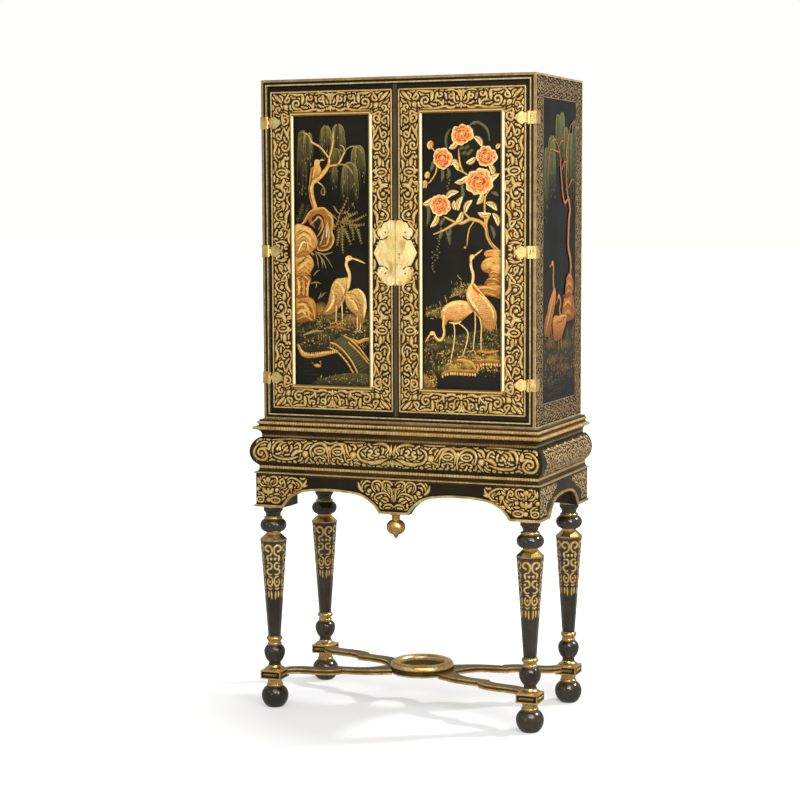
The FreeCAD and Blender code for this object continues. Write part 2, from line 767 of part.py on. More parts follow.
def stand_boards():
    under_top = case_bottom - top_board
    save("stand_top_board", box(-frame_inner_half, frame_inner_half, frame_inner_front, stand_back,
                                under_top, case_bottom))
    rear = box(-frame_inner_half, frame_inner_half, stand_back - stand_back_board, stand_back,
               apron_bottom, under_top)
    save("stand_back", cut_all(rear, front_arches(0.0, stand_back - 2 * stand_back_board,
                                                  stand_back + stand_back_board)))
    blocks = []
    for sign_x, sign_y in leg_places.values():
        outer = sign_x * frame_inner_half
        inner = outer - sign_x * corner_block
        near = frame_inner_front if sign_y < 0 else stand_back - stand_back_board
        far = near - sign_y * corner_block
        block = box(min(outer, inner), max(outer, inner), min(near, far), max(near, far),
                    apron_bottom, under_top)
        x, y = leg_place(sign_x, sign_y)
        blocks.append(block.cut(rod(leg_dowel_radius + dowel_gap, V(x, y, apron_bottom), V(0, 0, 1),
                                    leg_dowel_length + dowel_hole_spare)))
    blocks.append(box(-drop_block_half, drop_block_half, frame_inner_front, frame_inner_front + drop_block,
                      apron_bottom, apron_top))
    save("stand_corner_blocks", *blocks)


# ---- Finial, legs and feet ----
def finial_y():
    return apron_front + finial_setback


def finial():
    top = apron_bottom
    neck_level = top - finial_neck_height
    collar_low = (finial_collar_radius, top - finial_collar_height)
    neck_high = (finial_neck_radius, (collar_low[1] + neck_level) / 2)
    widest = (finial_radius, top - finial_widest)
    shoulder = (finial_tip_shoulder_radius, top - finial_tip_shoulder)
    save("apron_finial", turned((0.0, top - finial_height),
                                [(finial_tip_radius, top - finial_height), shoulder]
                                + belly(shoulder, widest, (finial_neck_radius, neck_level))
                                + [neck_high, (cove(neck_high, collar_low)[0], collar_low),
                                   (finial_collar_radius, top), (finial_dowel_radius, top),
                                   (finial_dowel_radius, top + finial_dowel_length),
                                   (0.0, top + finial_dowel_length)], 0.0, finial_y()))


def leg_place(sign_x, sign_y):
    return sign_x * leg_x, leg_front_y if sign_y < 0 else leg_back_y


def octagon(radius, z):
    """Octagon with flats square to X and Y."""
    corners = [V(radius * math.cos(math.radians(45 * step + 22.5)),
                 radius * math.sin(math.radians(45 * step + 22.5)), z) for step in range(8)]
    return Part.makePolygon(corners + corners[:1])


def tapered_octagon(radius0, radius1, z0, z1):
    return Part.makeLoft([octagon(radius0, z0), octagon(radius1, z1)], True, True)


def lower_turning(z0):
    """Leg below its shaft: plinth, cove, vase, thin ring, throat and shaft ring. Returns it and its top."""
    cove_top = z0 + plinth_height + plinth_cove_height
    vase_top = cove_top + vase_height
    thin_top = vase_top + thin_ring_height
    ring_bottom = thin_top + throat_height
    ring_top = ring_bottom + shaft_ring_height
    ankle = (ankle_radius, cove_top)
    plinth = (plinth_radius, z0 + plinth_height)
    steps = [(plinth_radius, z0), plinth, (cove(ankle, plinth)[0], ankle)]
    steps += belly(ankle, (vase_radius, cove_top + vase_widest), (vase_top_radius, vase_top))
    steps += [ring_step(vase_top_radius, thin_ring_radius, vase_top, thin_top), (vase_top_radius, ring_bottom),
              ring_step(vase_top_radius, shaft_ring_radius, ring_bottom, ring_top), (0.0, ring_top)]
    return turned((0.0, z0), steps, 0.0, 0.0), ring_top


def upper_turning(z1):
    """Leg above its octagonal cap, up to z1: neck, ball, ring, neck, flare, collar. Returns it and its base."""
    collar_bottom = z1 - top_collar_height
    flare_bottom = collar_bottom - top_flare_height
    ring_bottom = flare_bottom - ball_ring_height
    ball_bottom = ring_bottom - ball_height
    base = ball_bottom - cap_neck_height
    flare_low = (top_neck_radius, flare_bottom)
    low = (ball_bottom_radius, ball_bottom)
    steps = [(cap_neck_radius, base), (cap_neck_radius, (base + ball_bottom) / 2), low]
    steps += belly(low, (ball_radius, ball_bottom + ball_widest), (ball_top_radius, ring_bottom))
    steps += [ring_step(ball_top_radius, ball_ring_radius, ring_bottom, flare_bottom), flare_low,
              cove(flare_low, (top_collar_radius, collar_bottom)), (top_collar_radius, z1),
              (leg_dowel_radius, z1), (leg_dowel_radius, z1 + leg_dowel_length), (0.0, z1 + leg_dowel_length)]
    return turned((0.0, base), steps, 0.0, 0.0), base


def leg():
    lower, shaft_bottom = lower_turning(pad_top)
    upper, cap_top = upper_turning(apron_bottom)
    cap_bottom = cap_top - cap_height
    shaft_top = cap_bottom - cap_lip_height
    shaft = tapered_octagon(shaft_bottom_radius, shaft_top_radius, shaft_bottom, shaft_top)
    lip = tapered_octagon(cap_lip_radius, cap_lip_radius, shaft_top, cap_bottom)
    cap = tapered_octagon(cap_lip_radius, cap_top_radius, cap_bottom, cap_top)
    socket_depth = foot_dowel_length - pad_height + dowel_hole_spare
    socket = rod(foot_dowel_radius + dowel_gap, V(0, 0, pad_top), V(0, 0, 1), socket_depth)
    return lower.fuse([shaft, lip, cap, upper]).cut(socket).removeSplitter()


def foot():
    ring_top = foot_ball_height + foot_ring_height
    neck_high = (foot_neck_radius, (ring_top + foot_height) / 2)
    start = (0.0, 0.0)
    low = (foot_bottom_radius, 0.0)
    steps = [low] + belly(low, (foot_radius, foot_widest), (foot_top_radius, foot_ball_height))
    steps += [ring_step(foot_top_radius, foot_ring_radius, foot_ball_height, ring_top),
              (foot_neck_radius, ring_top), neck_high, cove(neck_high, (foot_flange_radius, foot_height)),
              (foot_dowel_radius, foot_height), (foot_dowel_radius, foot_height + foot_dowel_length),
              (0.0, foot_height + foot_dowel_length)]
    return turned(start, steps, 0.0, 0.0)


def legs_and_feet():
    for name, signs in leg_places.items():
        x, y = leg_place(*signs)
        for part, shape in (("leg_", leg()), ("ball_foot_", foot())):
            shape.translate(V(x, y, 0))
            save(part + name, shape)


# ---- Stretcher ----
def curve_through(points):
    curve = Part.BSplineCurve()
    curve.interpolate(points)
    return curve


def leaf(points, halves, flare, inset, z0, z1):
    """Curved bar along points, as wide as twice halves (first, last) less inset on each side."""
    middle = curve_through([V(x, y, z0) for x, y in points])
    left, right = [], []
    for step in range(leaf_samples):
        share = step / (leaf_samples - 1)
        place = middle.FirstParameter + share * (middle.LastParameter - middle.FirstParameter)
        direction = middle.tangent(place)[0]
        half = halves[0] + share ** flare * (halves[1] - halves[0]) - inset
        sideways = V(-direction.y, direction.x, 0).normalize() * half
        left.append(middle.value(place) + sideways)
        right.append(middle.value(place) - sideways)
    edges = [curve_through(left).toShape(), Part.makeLine(left[-1], right[-1]),
             curve_through(right[::-1]).toShape(), Part.makeLine(right[0], left[0])]
    return Part.Face(Part.Wire(edges)).extrude(V(0, 0, z1 - z0))


def arm(sign_x, sign_y):
    """Square pad and moulded arm of one board: two serpentine leaves that meet in a step."""
    leg_centre_x, leg_centre_y = leg_place(sign_x, sign_y)
    span_y = leg_centre_y - ring_y

    def placed(shares):
        return [(share_x * leg_centre_x, ring_y + share_y * span_y) for share_x, share_y in shares]

    layers = [(arm_bottom, arm_bottom + arm_bead, 0.0), (arm_bottom + arm_bead, arm_top - arm_bead, arm_groove),
              (arm_top - arm_bead, arm_top, 0.0)]
    bars = []
    for z0, z1, inset in layers:
        bars.append(leaf(placed(outer_leaf), outer_leaf_half, outer_leaf_flare, inset, z0, z1))
        bars.append(leaf(placed(inner_leaf), inner_leaf_half, inner_leaf_flare, inset, z0, z1))
    bar = bars[0].fuse(bars[1:])
    own_side = box(-half_width, half_width, min(ring_y, ring_y + sign_y * half_width),
                   max(ring_y, ring_y + sign_y * half_width), arm_bottom, arm_top)
    ring_room = rod(ring_outer_radius, V(0, ring_y, arm_bottom), V(0, 0, 1), arm_height)
    pad = box(leg_centre_x - pad_half, leg_centre_x + pad_half, leg_centre_y - pad_half,
              leg_centre_y + pad_half, pad_bottom, pad_top)
    hole = rod(foot_dowel_radius + dowel_gap, V(leg_centre_x, leg_centre_y, pad_bottom), V(0, 0, 1), pad_height)
    return bar.common(own_side).cut(ring_room).fuse(pad).cut(hole).removeSplitter()


def stretcher():
    for name, signs in leg_places.items():
        save("stretcher_arm_" + name, arm(*signs))
    ring_bottom = arm_bottom + ring_lift
    side_top = ring_bottom + ring_side
    crest = ((ring_inner_radius + ring_outer_radius) / 2, side_top + ring_crown)
    groove_radius = ring_outer_radius - arm_groove
    save("stretcher_ring", turned((ring_inner_radius, ring_bottom),
                                  [(ring_outer_radius, ring_bottom), (ring_outer_radius, ring_bottom + arm_bead),
                                   (groove_radius, ring_bottom + arm_bead), (groove_radius, side_top - arm_bead),
                                   (ring_outer_radius, side_top - arm_bead), (ring_outer_radius, side_top),
                                   (crest, (ring_inner_radius, side_top))], 0.0, ring_y))


os.makedirs("parts", exist_ok=True)
carcase()
shelves()
doors()
hinges()
lock()
flush_bolts()
surbase()
frieze()
lower_moulding()
aprons()
stand_boards()
finial()
legs_and_feet()
stretcher()
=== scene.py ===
"""Looks of the cabinet on stand: lacquer, gilding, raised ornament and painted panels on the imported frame.

Ornament and pictures are drawn on the surface that carries them and become thin meshes. Each drawing is a
function of strokes, whose points are pairs of millimetres on that surface.
"""
import math
import random

import bmesh
import bpy
from mathutils import Matrix, Vector
from mathutils.geometry import tessellate_polygon


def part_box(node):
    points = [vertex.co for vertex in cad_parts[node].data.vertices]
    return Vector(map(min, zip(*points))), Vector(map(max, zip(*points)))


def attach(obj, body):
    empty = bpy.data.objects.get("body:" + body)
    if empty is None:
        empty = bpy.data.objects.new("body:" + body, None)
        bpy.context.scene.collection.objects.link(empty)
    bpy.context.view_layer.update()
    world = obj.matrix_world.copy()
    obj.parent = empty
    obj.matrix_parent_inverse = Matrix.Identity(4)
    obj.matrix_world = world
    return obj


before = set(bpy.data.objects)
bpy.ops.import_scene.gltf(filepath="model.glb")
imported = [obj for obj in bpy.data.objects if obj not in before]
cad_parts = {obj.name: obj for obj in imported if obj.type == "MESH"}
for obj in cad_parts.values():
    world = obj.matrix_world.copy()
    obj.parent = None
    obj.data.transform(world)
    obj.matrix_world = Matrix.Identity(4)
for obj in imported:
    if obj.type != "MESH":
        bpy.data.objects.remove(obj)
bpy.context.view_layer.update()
MM = 0.001


# ---- Places, read from the frame, in millimetres ----
def span(node):
    """Lowest and highest corner of a CAD node, in millimetres."""
    low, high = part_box(node)
    return Vector(low) / MM, Vector(high) / MM


CASE_LOW, CASE_HIGH = span("carcase_right_side")
HINGED_LOW, HINGED_HIGH = span("right_door_hinge_stile")
BEAD_LOW, BEAD_HIGH = span("right_door_panel_bead")
PLATE_LOW, PLATE_HIGH = span("right_lock_plate")
FRIEZE_LOW, FRIEZE_HIGH = span("frieze_front")
APRON_LOW, APRON_HIGH = span("apron_front")
SIDE_APRON_LOW, SIDE_APRON_HIGH = span("apron_right")
LEG_LOW, LEG_HIGH = span("leg_front_right")
BACK_LEG_LOW, BACK_LEG_HIGH = span("leg_back_right")
ARM_LOW, ARM_HIGH = span("stretcher_arm_front_right")
RING_LOW, RING_HIGH = span("stretcher_ring")

SIDE_X = CASE_HIGH.x
FRONT, BACK = CASE_LOW.y, CASE_HIGH.y
CASE_BOTTOM, CASE_TOP = CASE_LOW.z, CASE_HIGH.z
DOOR_FRONT = HINGED_LOW.y
PANEL_SINK = 5.0                     # how far the panel lies behind the door's front
PANEL_FRONT = DOOR_FRONT + PANEL_SINK
BORDER_IN, BORDER_OUT = 9.5, 346.0   # x of the door border's edges
BORDER_MARGIN = 12.5                 # from the door's top and bottom to the border
BORDER_TOP, BORDER_BOTTOM = HINGED_HIGH.z - BORDER_MARGIN, HINGED_LOW.z + BORDER_MARGIN
BEAD_WIDTH = 11.0
PANEL_LEFT, PANEL_RIGHT = BEAD_LOW.x + BEAD_WIDTH, BEAD_HIGH.x - BEAD_WIDTH
PANEL_BOTTOM, PANEL_TOP = BEAD_LOW.z + BEAD_WIDTH, BEAD_HIGH.z - BEAD_WIDTH
LOCK_LEVEL = (PLATE_LOW.z + PLATE_HIGH.z) / 2
FRIEZE_LEVEL = (FRIEZE_LOW.z + FRIEZE_HIGH.z) / 2
FRIEZE_RADIUS, FRIEZE_SINK = 45.0, 15.0   # arc of its section, and how far its centre is behind the front
LEG_X = (LEG_LOW.x + LEG_HIGH.x) / 2
LEG_FRONT_Y = (LEG_LOW.y + LEG_HIGH.y) / 2
LEG_BACK_Y = (BACK_LEG_LOW.y + BACK_LEG_HIGH.y) / 2
PAD_HALF = ARM_HIGH.x - LEG_X        # half the side of the stretcher's square pads
RING_Y = (RING_LOW.y + RING_HIGH.y) / 2
RING_INNER = 57.5
SHAFT_LOW, SHAFT_HIGH = (190.0, 16.5), (446.0, 34.5)   # z and corner radius of the octagonal shaft's ends


# ---- Camera, light and floor ----
WHITE, WARM = (1.0, 1.0, 1.0), (1.0, 0.97, 0.92)
# Strength of the surroundings for the camera, the light and the gloss
SEEN, LIT, MIRRORED = 1.0, 0.58, 0.36
# name, kind, place, target, power, size (degrees across, or width and height in metres), colour
LIGHTS = (
    ("key", "SUN", (0.8, -1.6, 3.2), (0.0, 0.0, 0.6), 0.8, 40.0, WHITE),
    ("side_sun", "SUN", (0.80, 0.53, 1.0), (0.0, 0.0, 0.0), 2.5, 4.5, WHITE),
    ("right_softbox", "AREA", (1.5, -3.2, 2.7), (0.0, 0.0, 0.9), 24.0, (0.6, 0.6), WARM),
    ("near_softbox", "AREA", (1.3, -1.15, 1.35), (0.3, -0.15, 1.15), 13.0, (0.45, 1.1), WARM),
    ("left_softbox", "AREA", (-2.6, -2.6, 2.2), (0.0, 0.0, 0.9), 3.0, (0.6, 0.8), WHITE),
    ("low_softbox", "AREA", (-0.75, -3.3, 1.15), (0.15, -0.2, 1.15), 5.2, (0.55, 1.7), WARM))


def place_camera():
    """The photograph's view: place in metres, turned about Z, tipped down and slightly rolled."""
    place, yaw, pitch, roll = (1.8815, -4.7963, 1.3156), 0.385143, 0.096720, -0.003863
    forward = Vector((-math.sin(yaw) * math.cos(pitch), math.cos(yaw) * math.cos(pitch), -math.sin(pitch)))
    level_right = Vector((math.cos(yaw), math.sin(yaw), 0.0))
    level_up = level_right.cross(forward)
    right = level_right * math.cos(roll) + level_up * math.sin(roll)
    up = level_up * math.cos(roll) - level_right * math.sin(roll)
    data = bpy.data.cameras.new("camera")
    data.lens, data.sensor_width = 88.21, 36.0
    camera = bpy.data.objects.new("camera", data)
    turn = Matrix((right, up, -forward)).transposed().to_4x4()
    camera.matrix_world = Matrix.Translation(place) @ turn
    bpy.context.scene.collection.objects.link(camera)
    bpy.context.scene.camera = camera


def light(name, kind, place, target, power, size, colour):
    """Softbox or sun that looks from place at target."""
    data = bpy.data.lights.new(name, kind)
    data.energy, data.color = power, colour
    if kind == "AREA":
        data.shape = "RECTANGLE"
        data.size, data.size_y = size
    else:
        data.angle = math.radians(size)
    lamp = bpy.data.objects.new(name, data)
    turn = (Vector(target) - Vector(place)).to_track_quat("-Z", "Y").to_matrix().to_4x4()
    lamp.matrix_world = Matrix.Translation(place) @ turn
    bpy.context.scene.collection.objects.link(lamp)


def set_world(seen, lit, mirrored):
    """White behind the object for the camera, a pale grey for its light, and a darker one in its gloss."""
    world = bpy.data.worlds.new("studio")
    bpy.context.scene.world = world
    world.use_nodes = True
    nodes, links = world.node_tree.nodes, world.node_tree.links
    nodes.clear()
    path = nodes.new("ShaderNodeLightPath")

    def glow(strength):
        node = nodes.new("ShaderNodeBackground")
        node.inputs["Color"].default_value = (1.0, 0.995, 0.985, 1.0)
        node.inputs["Strength"].default_value = strength
        return node.outputs[0]

    def choose(ray, otherwise, then):
        node = nodes.new("ShaderNodeMixShader")
        for socket, value in zip(node.inputs, (path.outputs[ray], otherwise, then)):
            links.new(value, socket)
        return node.outputs[0]

    output = nodes.new("ShaderNodeOutputWorld")
    around = choose("Is Glossy Ray", glow(lit), glow(mirrored))
    links.new(choose("Is Camera Ray", around, glow(seen)), output.inputs["Surface"])


def lay_floor():
    """Wide floor, left out of reflections because the lacquer mirrors a room and not a white floor."""
    reach = 60.0
    corners = [(x * reach, y * reach, 0) for x, y in ((-1, -1), (1, -1), (1, 1), (-1, 1))]
    mesh = bpy.data.meshes.new("floor")
    mesh.from_pydata(corners, [], [(0, 1, 2, 3)])
    mesh.materials.append(floor_material())
    piece = bpy.data.objects.new("floor", mesh)
    piece.visible_glossy = False
    bpy.context.scene.collection.objects.link(piece)


# ---- Materials ----
def rgb(red, green, blue):
    """Linear colour from display values of 0 to 255."""
    return tuple((v / 12.92 if v <= 0.04045 else ((v + 0.055) / 1.055) ** 2.4)
                 for v in (red / 255, green / 255, blue / 255))


class Tree:
    """A material under construction. Sockets and plain values can be mixed freely."""

    def __init__(self, name):
        self.material = bpy.data.materials.new(name)
        self.material.use_nodes = True
        self.nodes = self.material.node_tree.nodes
        self.links = self.material.node_tree.links
        self.nodes.clear()
        self.shader = self.nodes.new("ShaderNodeBsdfPrincipled")
        output = self.nodes.new("ShaderNodeOutputMaterial")
        self.links.new(self.shader.outputs[0], output.inputs["Surface"])
        self.place = self.nodes.new("ShaderNodeTexCoord").outputs["Object"]

    def feed(self, socket, value):
        if isinstance(value, bpy.types.NodeSocket):
            self.links.new(value, socket)
        elif isinstance(value, tuple) and len(value) == 3 and socket.type == "RGBA":
            socket.default_value = (*value, 1.0)
        else:
            socket.default_value = value

    def node(self, kind, values=(), **settings):
        """New node with these settings, whose first inputs get the values."""
        node = self.nodes.new("ShaderNode" + kind)
        for name, setting in settings.items():
            setattr(node, name, setting)
        for socket, value in zip(node.inputs, values):
            self.feed(socket, value)
        return node

    def set(self, **values):
        """Inputs of the shader, named with underscores for spaces."""
        for name, value in values.items():
            self.feed(self.shader.inputs[name.replace("_", " ")], value)

    def math(self, operation, *values):
        return self.node("Math", values, operation=operation).outputs[0]

    def chain(self, operation, values):
        """The operation on the first two values, then on the result and the next one."""
        result = values[0]
        for value in values[1:]:
            result = self.math(operation, result, value)
        return result

    def times(self, *values):
        return self.chain("MULTIPLY", values)

    def plus(self, *values):
        return self.chain("ADD", values)

    def least(self, *values):
        return self.chain("MINIMUM", values)

    def either(self, *masks):
        return self.chain("MAXIMUM", masks)

    def minus(self, first, second):
        return self.math("SUBTRACT", first, second)

    def size(self, value):
        return self.math("ABSOLUTE", value)

    def distance(self, x, y):
        return self.math("SQRT", self.plus(self.times(x, x), self.times(y, y)))

    def vector(self, operation, *values):
        return self.node("VectorMath", values, operation=operation).outputs[0]

    def parts(self, vector):
        return self.node("SeparateXYZ", [vector]).outputs

    def millimetres(self):
        return self.parts(self.vector("MULTIPLY", self.place, (1000.0, 1000.0, 1000.0)))

    def normal(self):
        """The face's own normal, which keeps its direction on a door when the door is opened."""
        face = self.node("NewGeometry").outputs["True Normal"]
        turned_back = self.node("VectorTransform", [face], vector_type="NORMAL", convert_from="WORLD",
                                convert_to="OBJECT")
        return self.parts(turned_back.outputs[0])

    def noise(self, scale, detail=3.0, roughness=0.55, stretch=None):
        node = self.node("TexNoise")
        place = self.vector("MULTIPLY", self.place, stretch) if stretch else self.place
        self.feed(node.inputs["Vector"], place)
        for name, value in (("Scale", scale), ("Detail", detail), ("Roughness", roughness)):
            node.inputs[name].default_value = value
        return node.outputs[0]

    def reach(self, factor, low, high, start=0.0, end=1.0):
        """From start to end while factor goes from low to high."""
        return self.node("MapRange", (factor, low, high, start, end)).outputs[0]

    def patches(self, scale, detail, roughness, over, to=(0.0, 1.0), stretch=None):
        """Soft patches: noise that goes from one value to the other while it crosses this range."""
        return self.reach(self.noise(scale, detail, roughness, stretch), *over, *to)

    def between(self, value, low, high, soft=0.5):
        """1 where value lies from low to high, 0 outside, with soft edges."""
        return self.times(self.reach(value, low - soft, low + soft),
                          self.reach(value, high - soft, high + soft, 1.0, 0.0))

    def mix(self, factor, first, second, blend="MIX"):
        node = self.node("Mix", data_type="RGBA", blend_type=blend)
        for socket, value in ((node.inputs[0], factor), (node.inputs[6], first), (node.inputs[7], second)):
            self.feed(socket, value)
        return node.outputs[2]

    def darkened(self, colour, tint):
        return self.mix(1.0, colour, tint, "MULTIPLY")

    def bump(self, height, strength, depth):
        """Unevenness of that depth in millimetres."""
        node = self.node("Bump")
        self.feed(node.inputs["Height"], height)
        node.inputs["Strength"].default_value = strength
        node.inputs["Distance"].default_value = depth * MM
        self.links.new(node.outputs[0], self.shader.inputs["Normal"])

    def attribute(self, name, output="Fac"):
        return self.node("Attribute", attribute_name=name).outputs[output]


BLACK, BLACK_WORN = rgb(23, 19, 8), rgb(38, 32, 18)
GOLD, GOLD_PALE, GOLD_DEEP, BOLE = rgb(220, 178, 92), rgb(254, 228, 154), rgb(150, 104, 36), rgb(84, 48, 18)


def gold_colour(tree, pale=GOLD_PALE, deep=GOLD_DEEP, worn=0.5, base=GOLD):
    """Leaf gold: pale and warm patches, darker grain, and specks worn through to the bole."""
    colour = tree.mix(tree.patches(38.0, 4.0, 0.6, (0.35, 0.68)), base, pale)
    colour = tree.mix(tree.patches(190.0, 3.0, 0.65, (0.52, 0.72), (0.0, 0.75)), colour, deep)
    return tree.mix(tree.patches(420.0, 3.0, 0.7, (0.60, 0.74), (0.0, worn)), colour, BOLE)


def lacquer_colour(tree, black, worn):
    colour = tree.mix(tree.patches(9.0, 4.0, 0.6, (0.4, 0.7), (0.0, 0.6)), black, worn)
    return tree.mix(tree.patches(600.0, 2.0, 0.5, (0.62, 0.75), (0.0, 0.35)), colour, worn)


def finish_surface(tree, gold=None, black=BLACK, worn=BLACK_WORN, gloss=0.20, specular=0.15, base=GOLD,
                   pale=GOLD_PALE, deep=GOLD_DEEP, metal=0.62, gold_rough=0.40, gold_wear=0.5):
    """Japanned ground, or gilding where the mask gold is 1. Without a mask it is lacquer all over."""
    ground = lacquer_colour(tree, black, worn)
    shine = tree.patches(14.0, 3.0, 0.5, (0.3, 0.7), (gloss, gloss + 0.14))
    if gold is None:
        tree.set(Base_Color=ground, Roughness=shine, Metallic=0.0)
    else:
        leaf = gold_colour(tree, pale, deep, gold_wear, base)
        tree.set(Base_Color=tree.mix(gold, ground, leaf), Metallic=tree.times(gold, metal),
                 Roughness=tree.reach(gold, 0.0, 1.0, shine, gold_rough))
    tree.set(Specular_IOR_Level=specular)
    tree.bump(tree.noise(320.0, 4.0, 0.6), 0.35, 0.12)
    return tree.material


def lacquer(name, **looks):
    return finish_surface(Tree(name), **looks)


def zoned(name, *zones, nicks=0.0, **looks):
    """Lacquer with gilded zones, each from one height to another in millimetres, with how much gold it has.

    nicks is the mean distance of the small cuts along them.
    """
    tree = Tree(name)
    x, y, z = tree.millimetres()
    gold = tree.either(*[tree.times(tree.between(z, low, high), share) for low, high, share in zones])
    if nicks:
        uneven = tree.noise(24.0, 2.0)
        along = tree.plus(tree.times(tree.plus(x, y), 2 * math.pi / nicks), tree.times(uneven, 9.0))
        gold = tree.times(gold, tree.reach(tree.math("SINE", along), 0.2, 0.9, 1.0, 0.45))
    return finish_surface(tree, gold, **looks)


def door_material():
    """Door: black margins, a painted highlight along its meeting edge, and a brown ground under the ornament
    of its border.
    """
    tree = Tree("door_lacquer")
    x, y, z = tree.millimetres()
    from_middle = tree.size(x)
    border = tree.times(tree.between(from_middle, BORDER_IN, BORDER_OUT),
                        tree.between(z, BORDER_BOTTOM, BORDER_TOP))
    nx, ny, nz = tree.normal()
    border = tree.times(border, tree.reach(ny, -0.6, -0.4, 1.0, 0.0))
    # Painted highlight: a pale grey-brown strip along the meeting edge, where its rounded arris would catch
    # the light.
    painted_edge_highlight = tree.reach(from_middle, 2.0, 6.0, 0.8, 0.0)
    black = tree.mix(border, rgb(19, 15, 6), rgb(34, 21, 5))
    return finish_surface(tree, black=tree.mix(painted_edge_highlight, black, rgb(92, 84, 68)),
                          worn=tree.mix(border, rgb(34, 27, 13), rgb(64, 42, 14)))


def bead_material():
    """Bead round a panel, with painted light: a painted highlight on the crest and right-facing flank of its
    upright strips, painted shade on their left-facing flank, and painted shade that makes its level strips
    deeper, with a narrower highlight on their crest.
    """
    tree = Tree("bead_gilt")
    x, y, z = tree.millimetres()
    level = tree.either(tree.reach(z, PANEL_BOTTOM - 1, PANEL_BOTTOM + 1, 1.0, 0.0),
                        tree.reach(z, PANEL_TOP - 1, PANEL_TOP + 1))
    nx, ny, nz = tree.normal()
    # Painted light by the face's own direction: pale where it faces the front and right, brown where it
    # faces left, and the level strips darker.
    lean = tree.minus(ny, tree.times(nx, 0.8))
    upright_painted_highlight = tree.reach(lean, -1.14, -0.90, 1.0, 0.0)
    level_painted_highlight = tree.reach(ny, -0.995, -0.93, 1.0, 0.0)
    colour = tree.mix(upright_painted_highlight, rgb(140, 102, 46), rgb(252, 232, 180))
    colour = tree.mix(level, colour, tree.mix(level_painted_highlight, rgb(120, 88, 36), rgb(216, 182, 106)))
    colour = tree.mix(tree.patches(70.0, 4.0, 0.6, (0.45, 0.8), (0.0, 0.4)), colour, rgb(196, 148, 74))
    tree.set(Base_Color=colour, Metallic=0.45, Specular_IOR_Level=0.5, Roughness=0.34)
    tree.bump(tree.noise(260.0, 4.0, 0.65), 0.3, 0.15)
    return tree.material


def ring_material():
    """Stretcher ring: gilt crest and beads, with a dark hollow between them and a dull inner wall."""
    tree = Tree("ring_gilt")
    x, y, z = tree.millimetres()
    reach = tree.distance(x, tree.minus(y, RING_Y))
    beads = tree.either(tree.between(z, 86.0, 91.6), tree.reach(z, 105.0, 107.0))
    inside = tree.reach(reach, RING_INNER + 1.0, RING_INNER + 3.0, 0.3, 1.0)
    hollow = tree.reach(tree.between(reach, 76.5, 81.0, 0.8), 0.0, 1.0, 1.0, 0.35)
    gold = tree.times(beads, tree.times(inside, hollow))
    return finish_surface(tree, gold, black=rgb(52, 38, 16), worn=rgb(120, 88, 40),
                          gold_rough=0.30, gold_wear=0.35, metal=0.85, pale=rgb(255, 236, 176))


def case_material():
    """Carcase: two gilt lines round its front edge, the outer one browner, and one round each side."""
    tree = Tree("case_lacquer")
    x, y, z = tree.millimetres()
    across = tree.minus(SIDE_X, tree.size(x))
    ends = tree.least(tree.minus(z, CASE_BOTTOM), tree.minus(CASE_TOP, z))
    front_edge = tree.least(across, ends)
    side_edge = tree.least(tree.least(tree.minus(y, FRONT), tree.minus(BACK, y)), ends)
    nx, ny, nz = tree.normal()
    faces_front = tree.reach(ny, -0.6, -0.5, 1.0, 0.0)
    faces_side = tree.reach(tree.size(nx), 0.5, 0.6)
    outer = tree.between(front_edge, -5.0, 6.2, 0.4)
    inner = tree.between(front_edge, 12.6, 15.8, 0.4)
    browner = tree.times(faces_front, outer)
    gold = tree.either(tree.times(faces_front, tree.either(outer, inner)),
                       tree.times(faces_side, tree.between(side_edge, -5.0, 5.0, 0.4)))
    return finish_surface(tree, gold, base=tree.mix(browner, rgb(186, 158, 104), rgb(150, 120, 74)),
                          pale=tree.mix(browner, rgb(226, 206, 154), rgb(184, 156, 108)),
                          deep=rgb(118, 88, 44),
                          black=tree.mix(faces_side, BLACK, rgb(8, 8, 4)),
                          worn=tree.mix(faces_side, BLACK_WORN, rgb(20, 19, 12)), specular=0.10)


def arm_material():
    """Stretcher: gilt beads along the arms, and pads with gilt tops and undersides."""
    tree = Tree("arm_gilt")
    x, y, z = tree.millimetres()
    off_x = tree.size(tree.minus(tree.size(x), LEG_X))
    off_y = tree.size(tree.minus(tree.size(tree.minus(y, RING_Y)), LEG_BACK_Y - RING_Y))
    arm = tree.reach(tree.either(off_x, off_y), PAD_HALF + 0.3, PAD_HALF + 0.8)
    beads = tree.times(arm, tree.either(tree.between(z, 83.0, 88.2), tree.between(z, 94.8, 98.4)))
    faces = tree.either(tree.reach(z, 77.4, 77.8, 1.0, 0.0), tree.reach(z, 99.4, 99.7))
    return finish_surface(tree, tree.either(beads, faces), metal=0.8, specular=0.12,
                          black=tree.mix(arm, rgb(34, 24, 10), rgb(72, 52, 24)),
                          worn=tree.mix(arm, rgb(66, 48, 22), rgb(136, 106, 58)),
                          base=rgb(196, 154, 84), gold_wear=0.7)


def gilding(name, rough, metal=0.62, base=GOLD, pale=GOLD_PALE, deep=GOLD_DEEP, wear=0.5, flank_shade=None):
    """Gilded wood or raised work. A flank shade colour paints shade on the strokes' flanks, by the piece's
    painted light attribute.
    """
    tree = Tree(name)
    colour = gold_colour(tree, pale, deep, wear, base)
    if flank_shade:
        # Painted shade: the strokes' flanks darkened by the flank shade colour, the crests left at the full
        # gold.
        colour = tree.mix(tree.attribute("painted_light"), tree.darkened(colour, flank_shade), colour)
    tree.set(Base_Color=colour, Metallic=metal, Specular_IOR_Level=0.5,
             Roughness=tree.patches(60.0, 3.0, 0.55, (0.3, 0.7), (rough - 0.08, rough + 0.10)))
    tree.bump(tree.noise(260.0, 4.0, 0.65), 0.5, 0.2)
    return tree.material


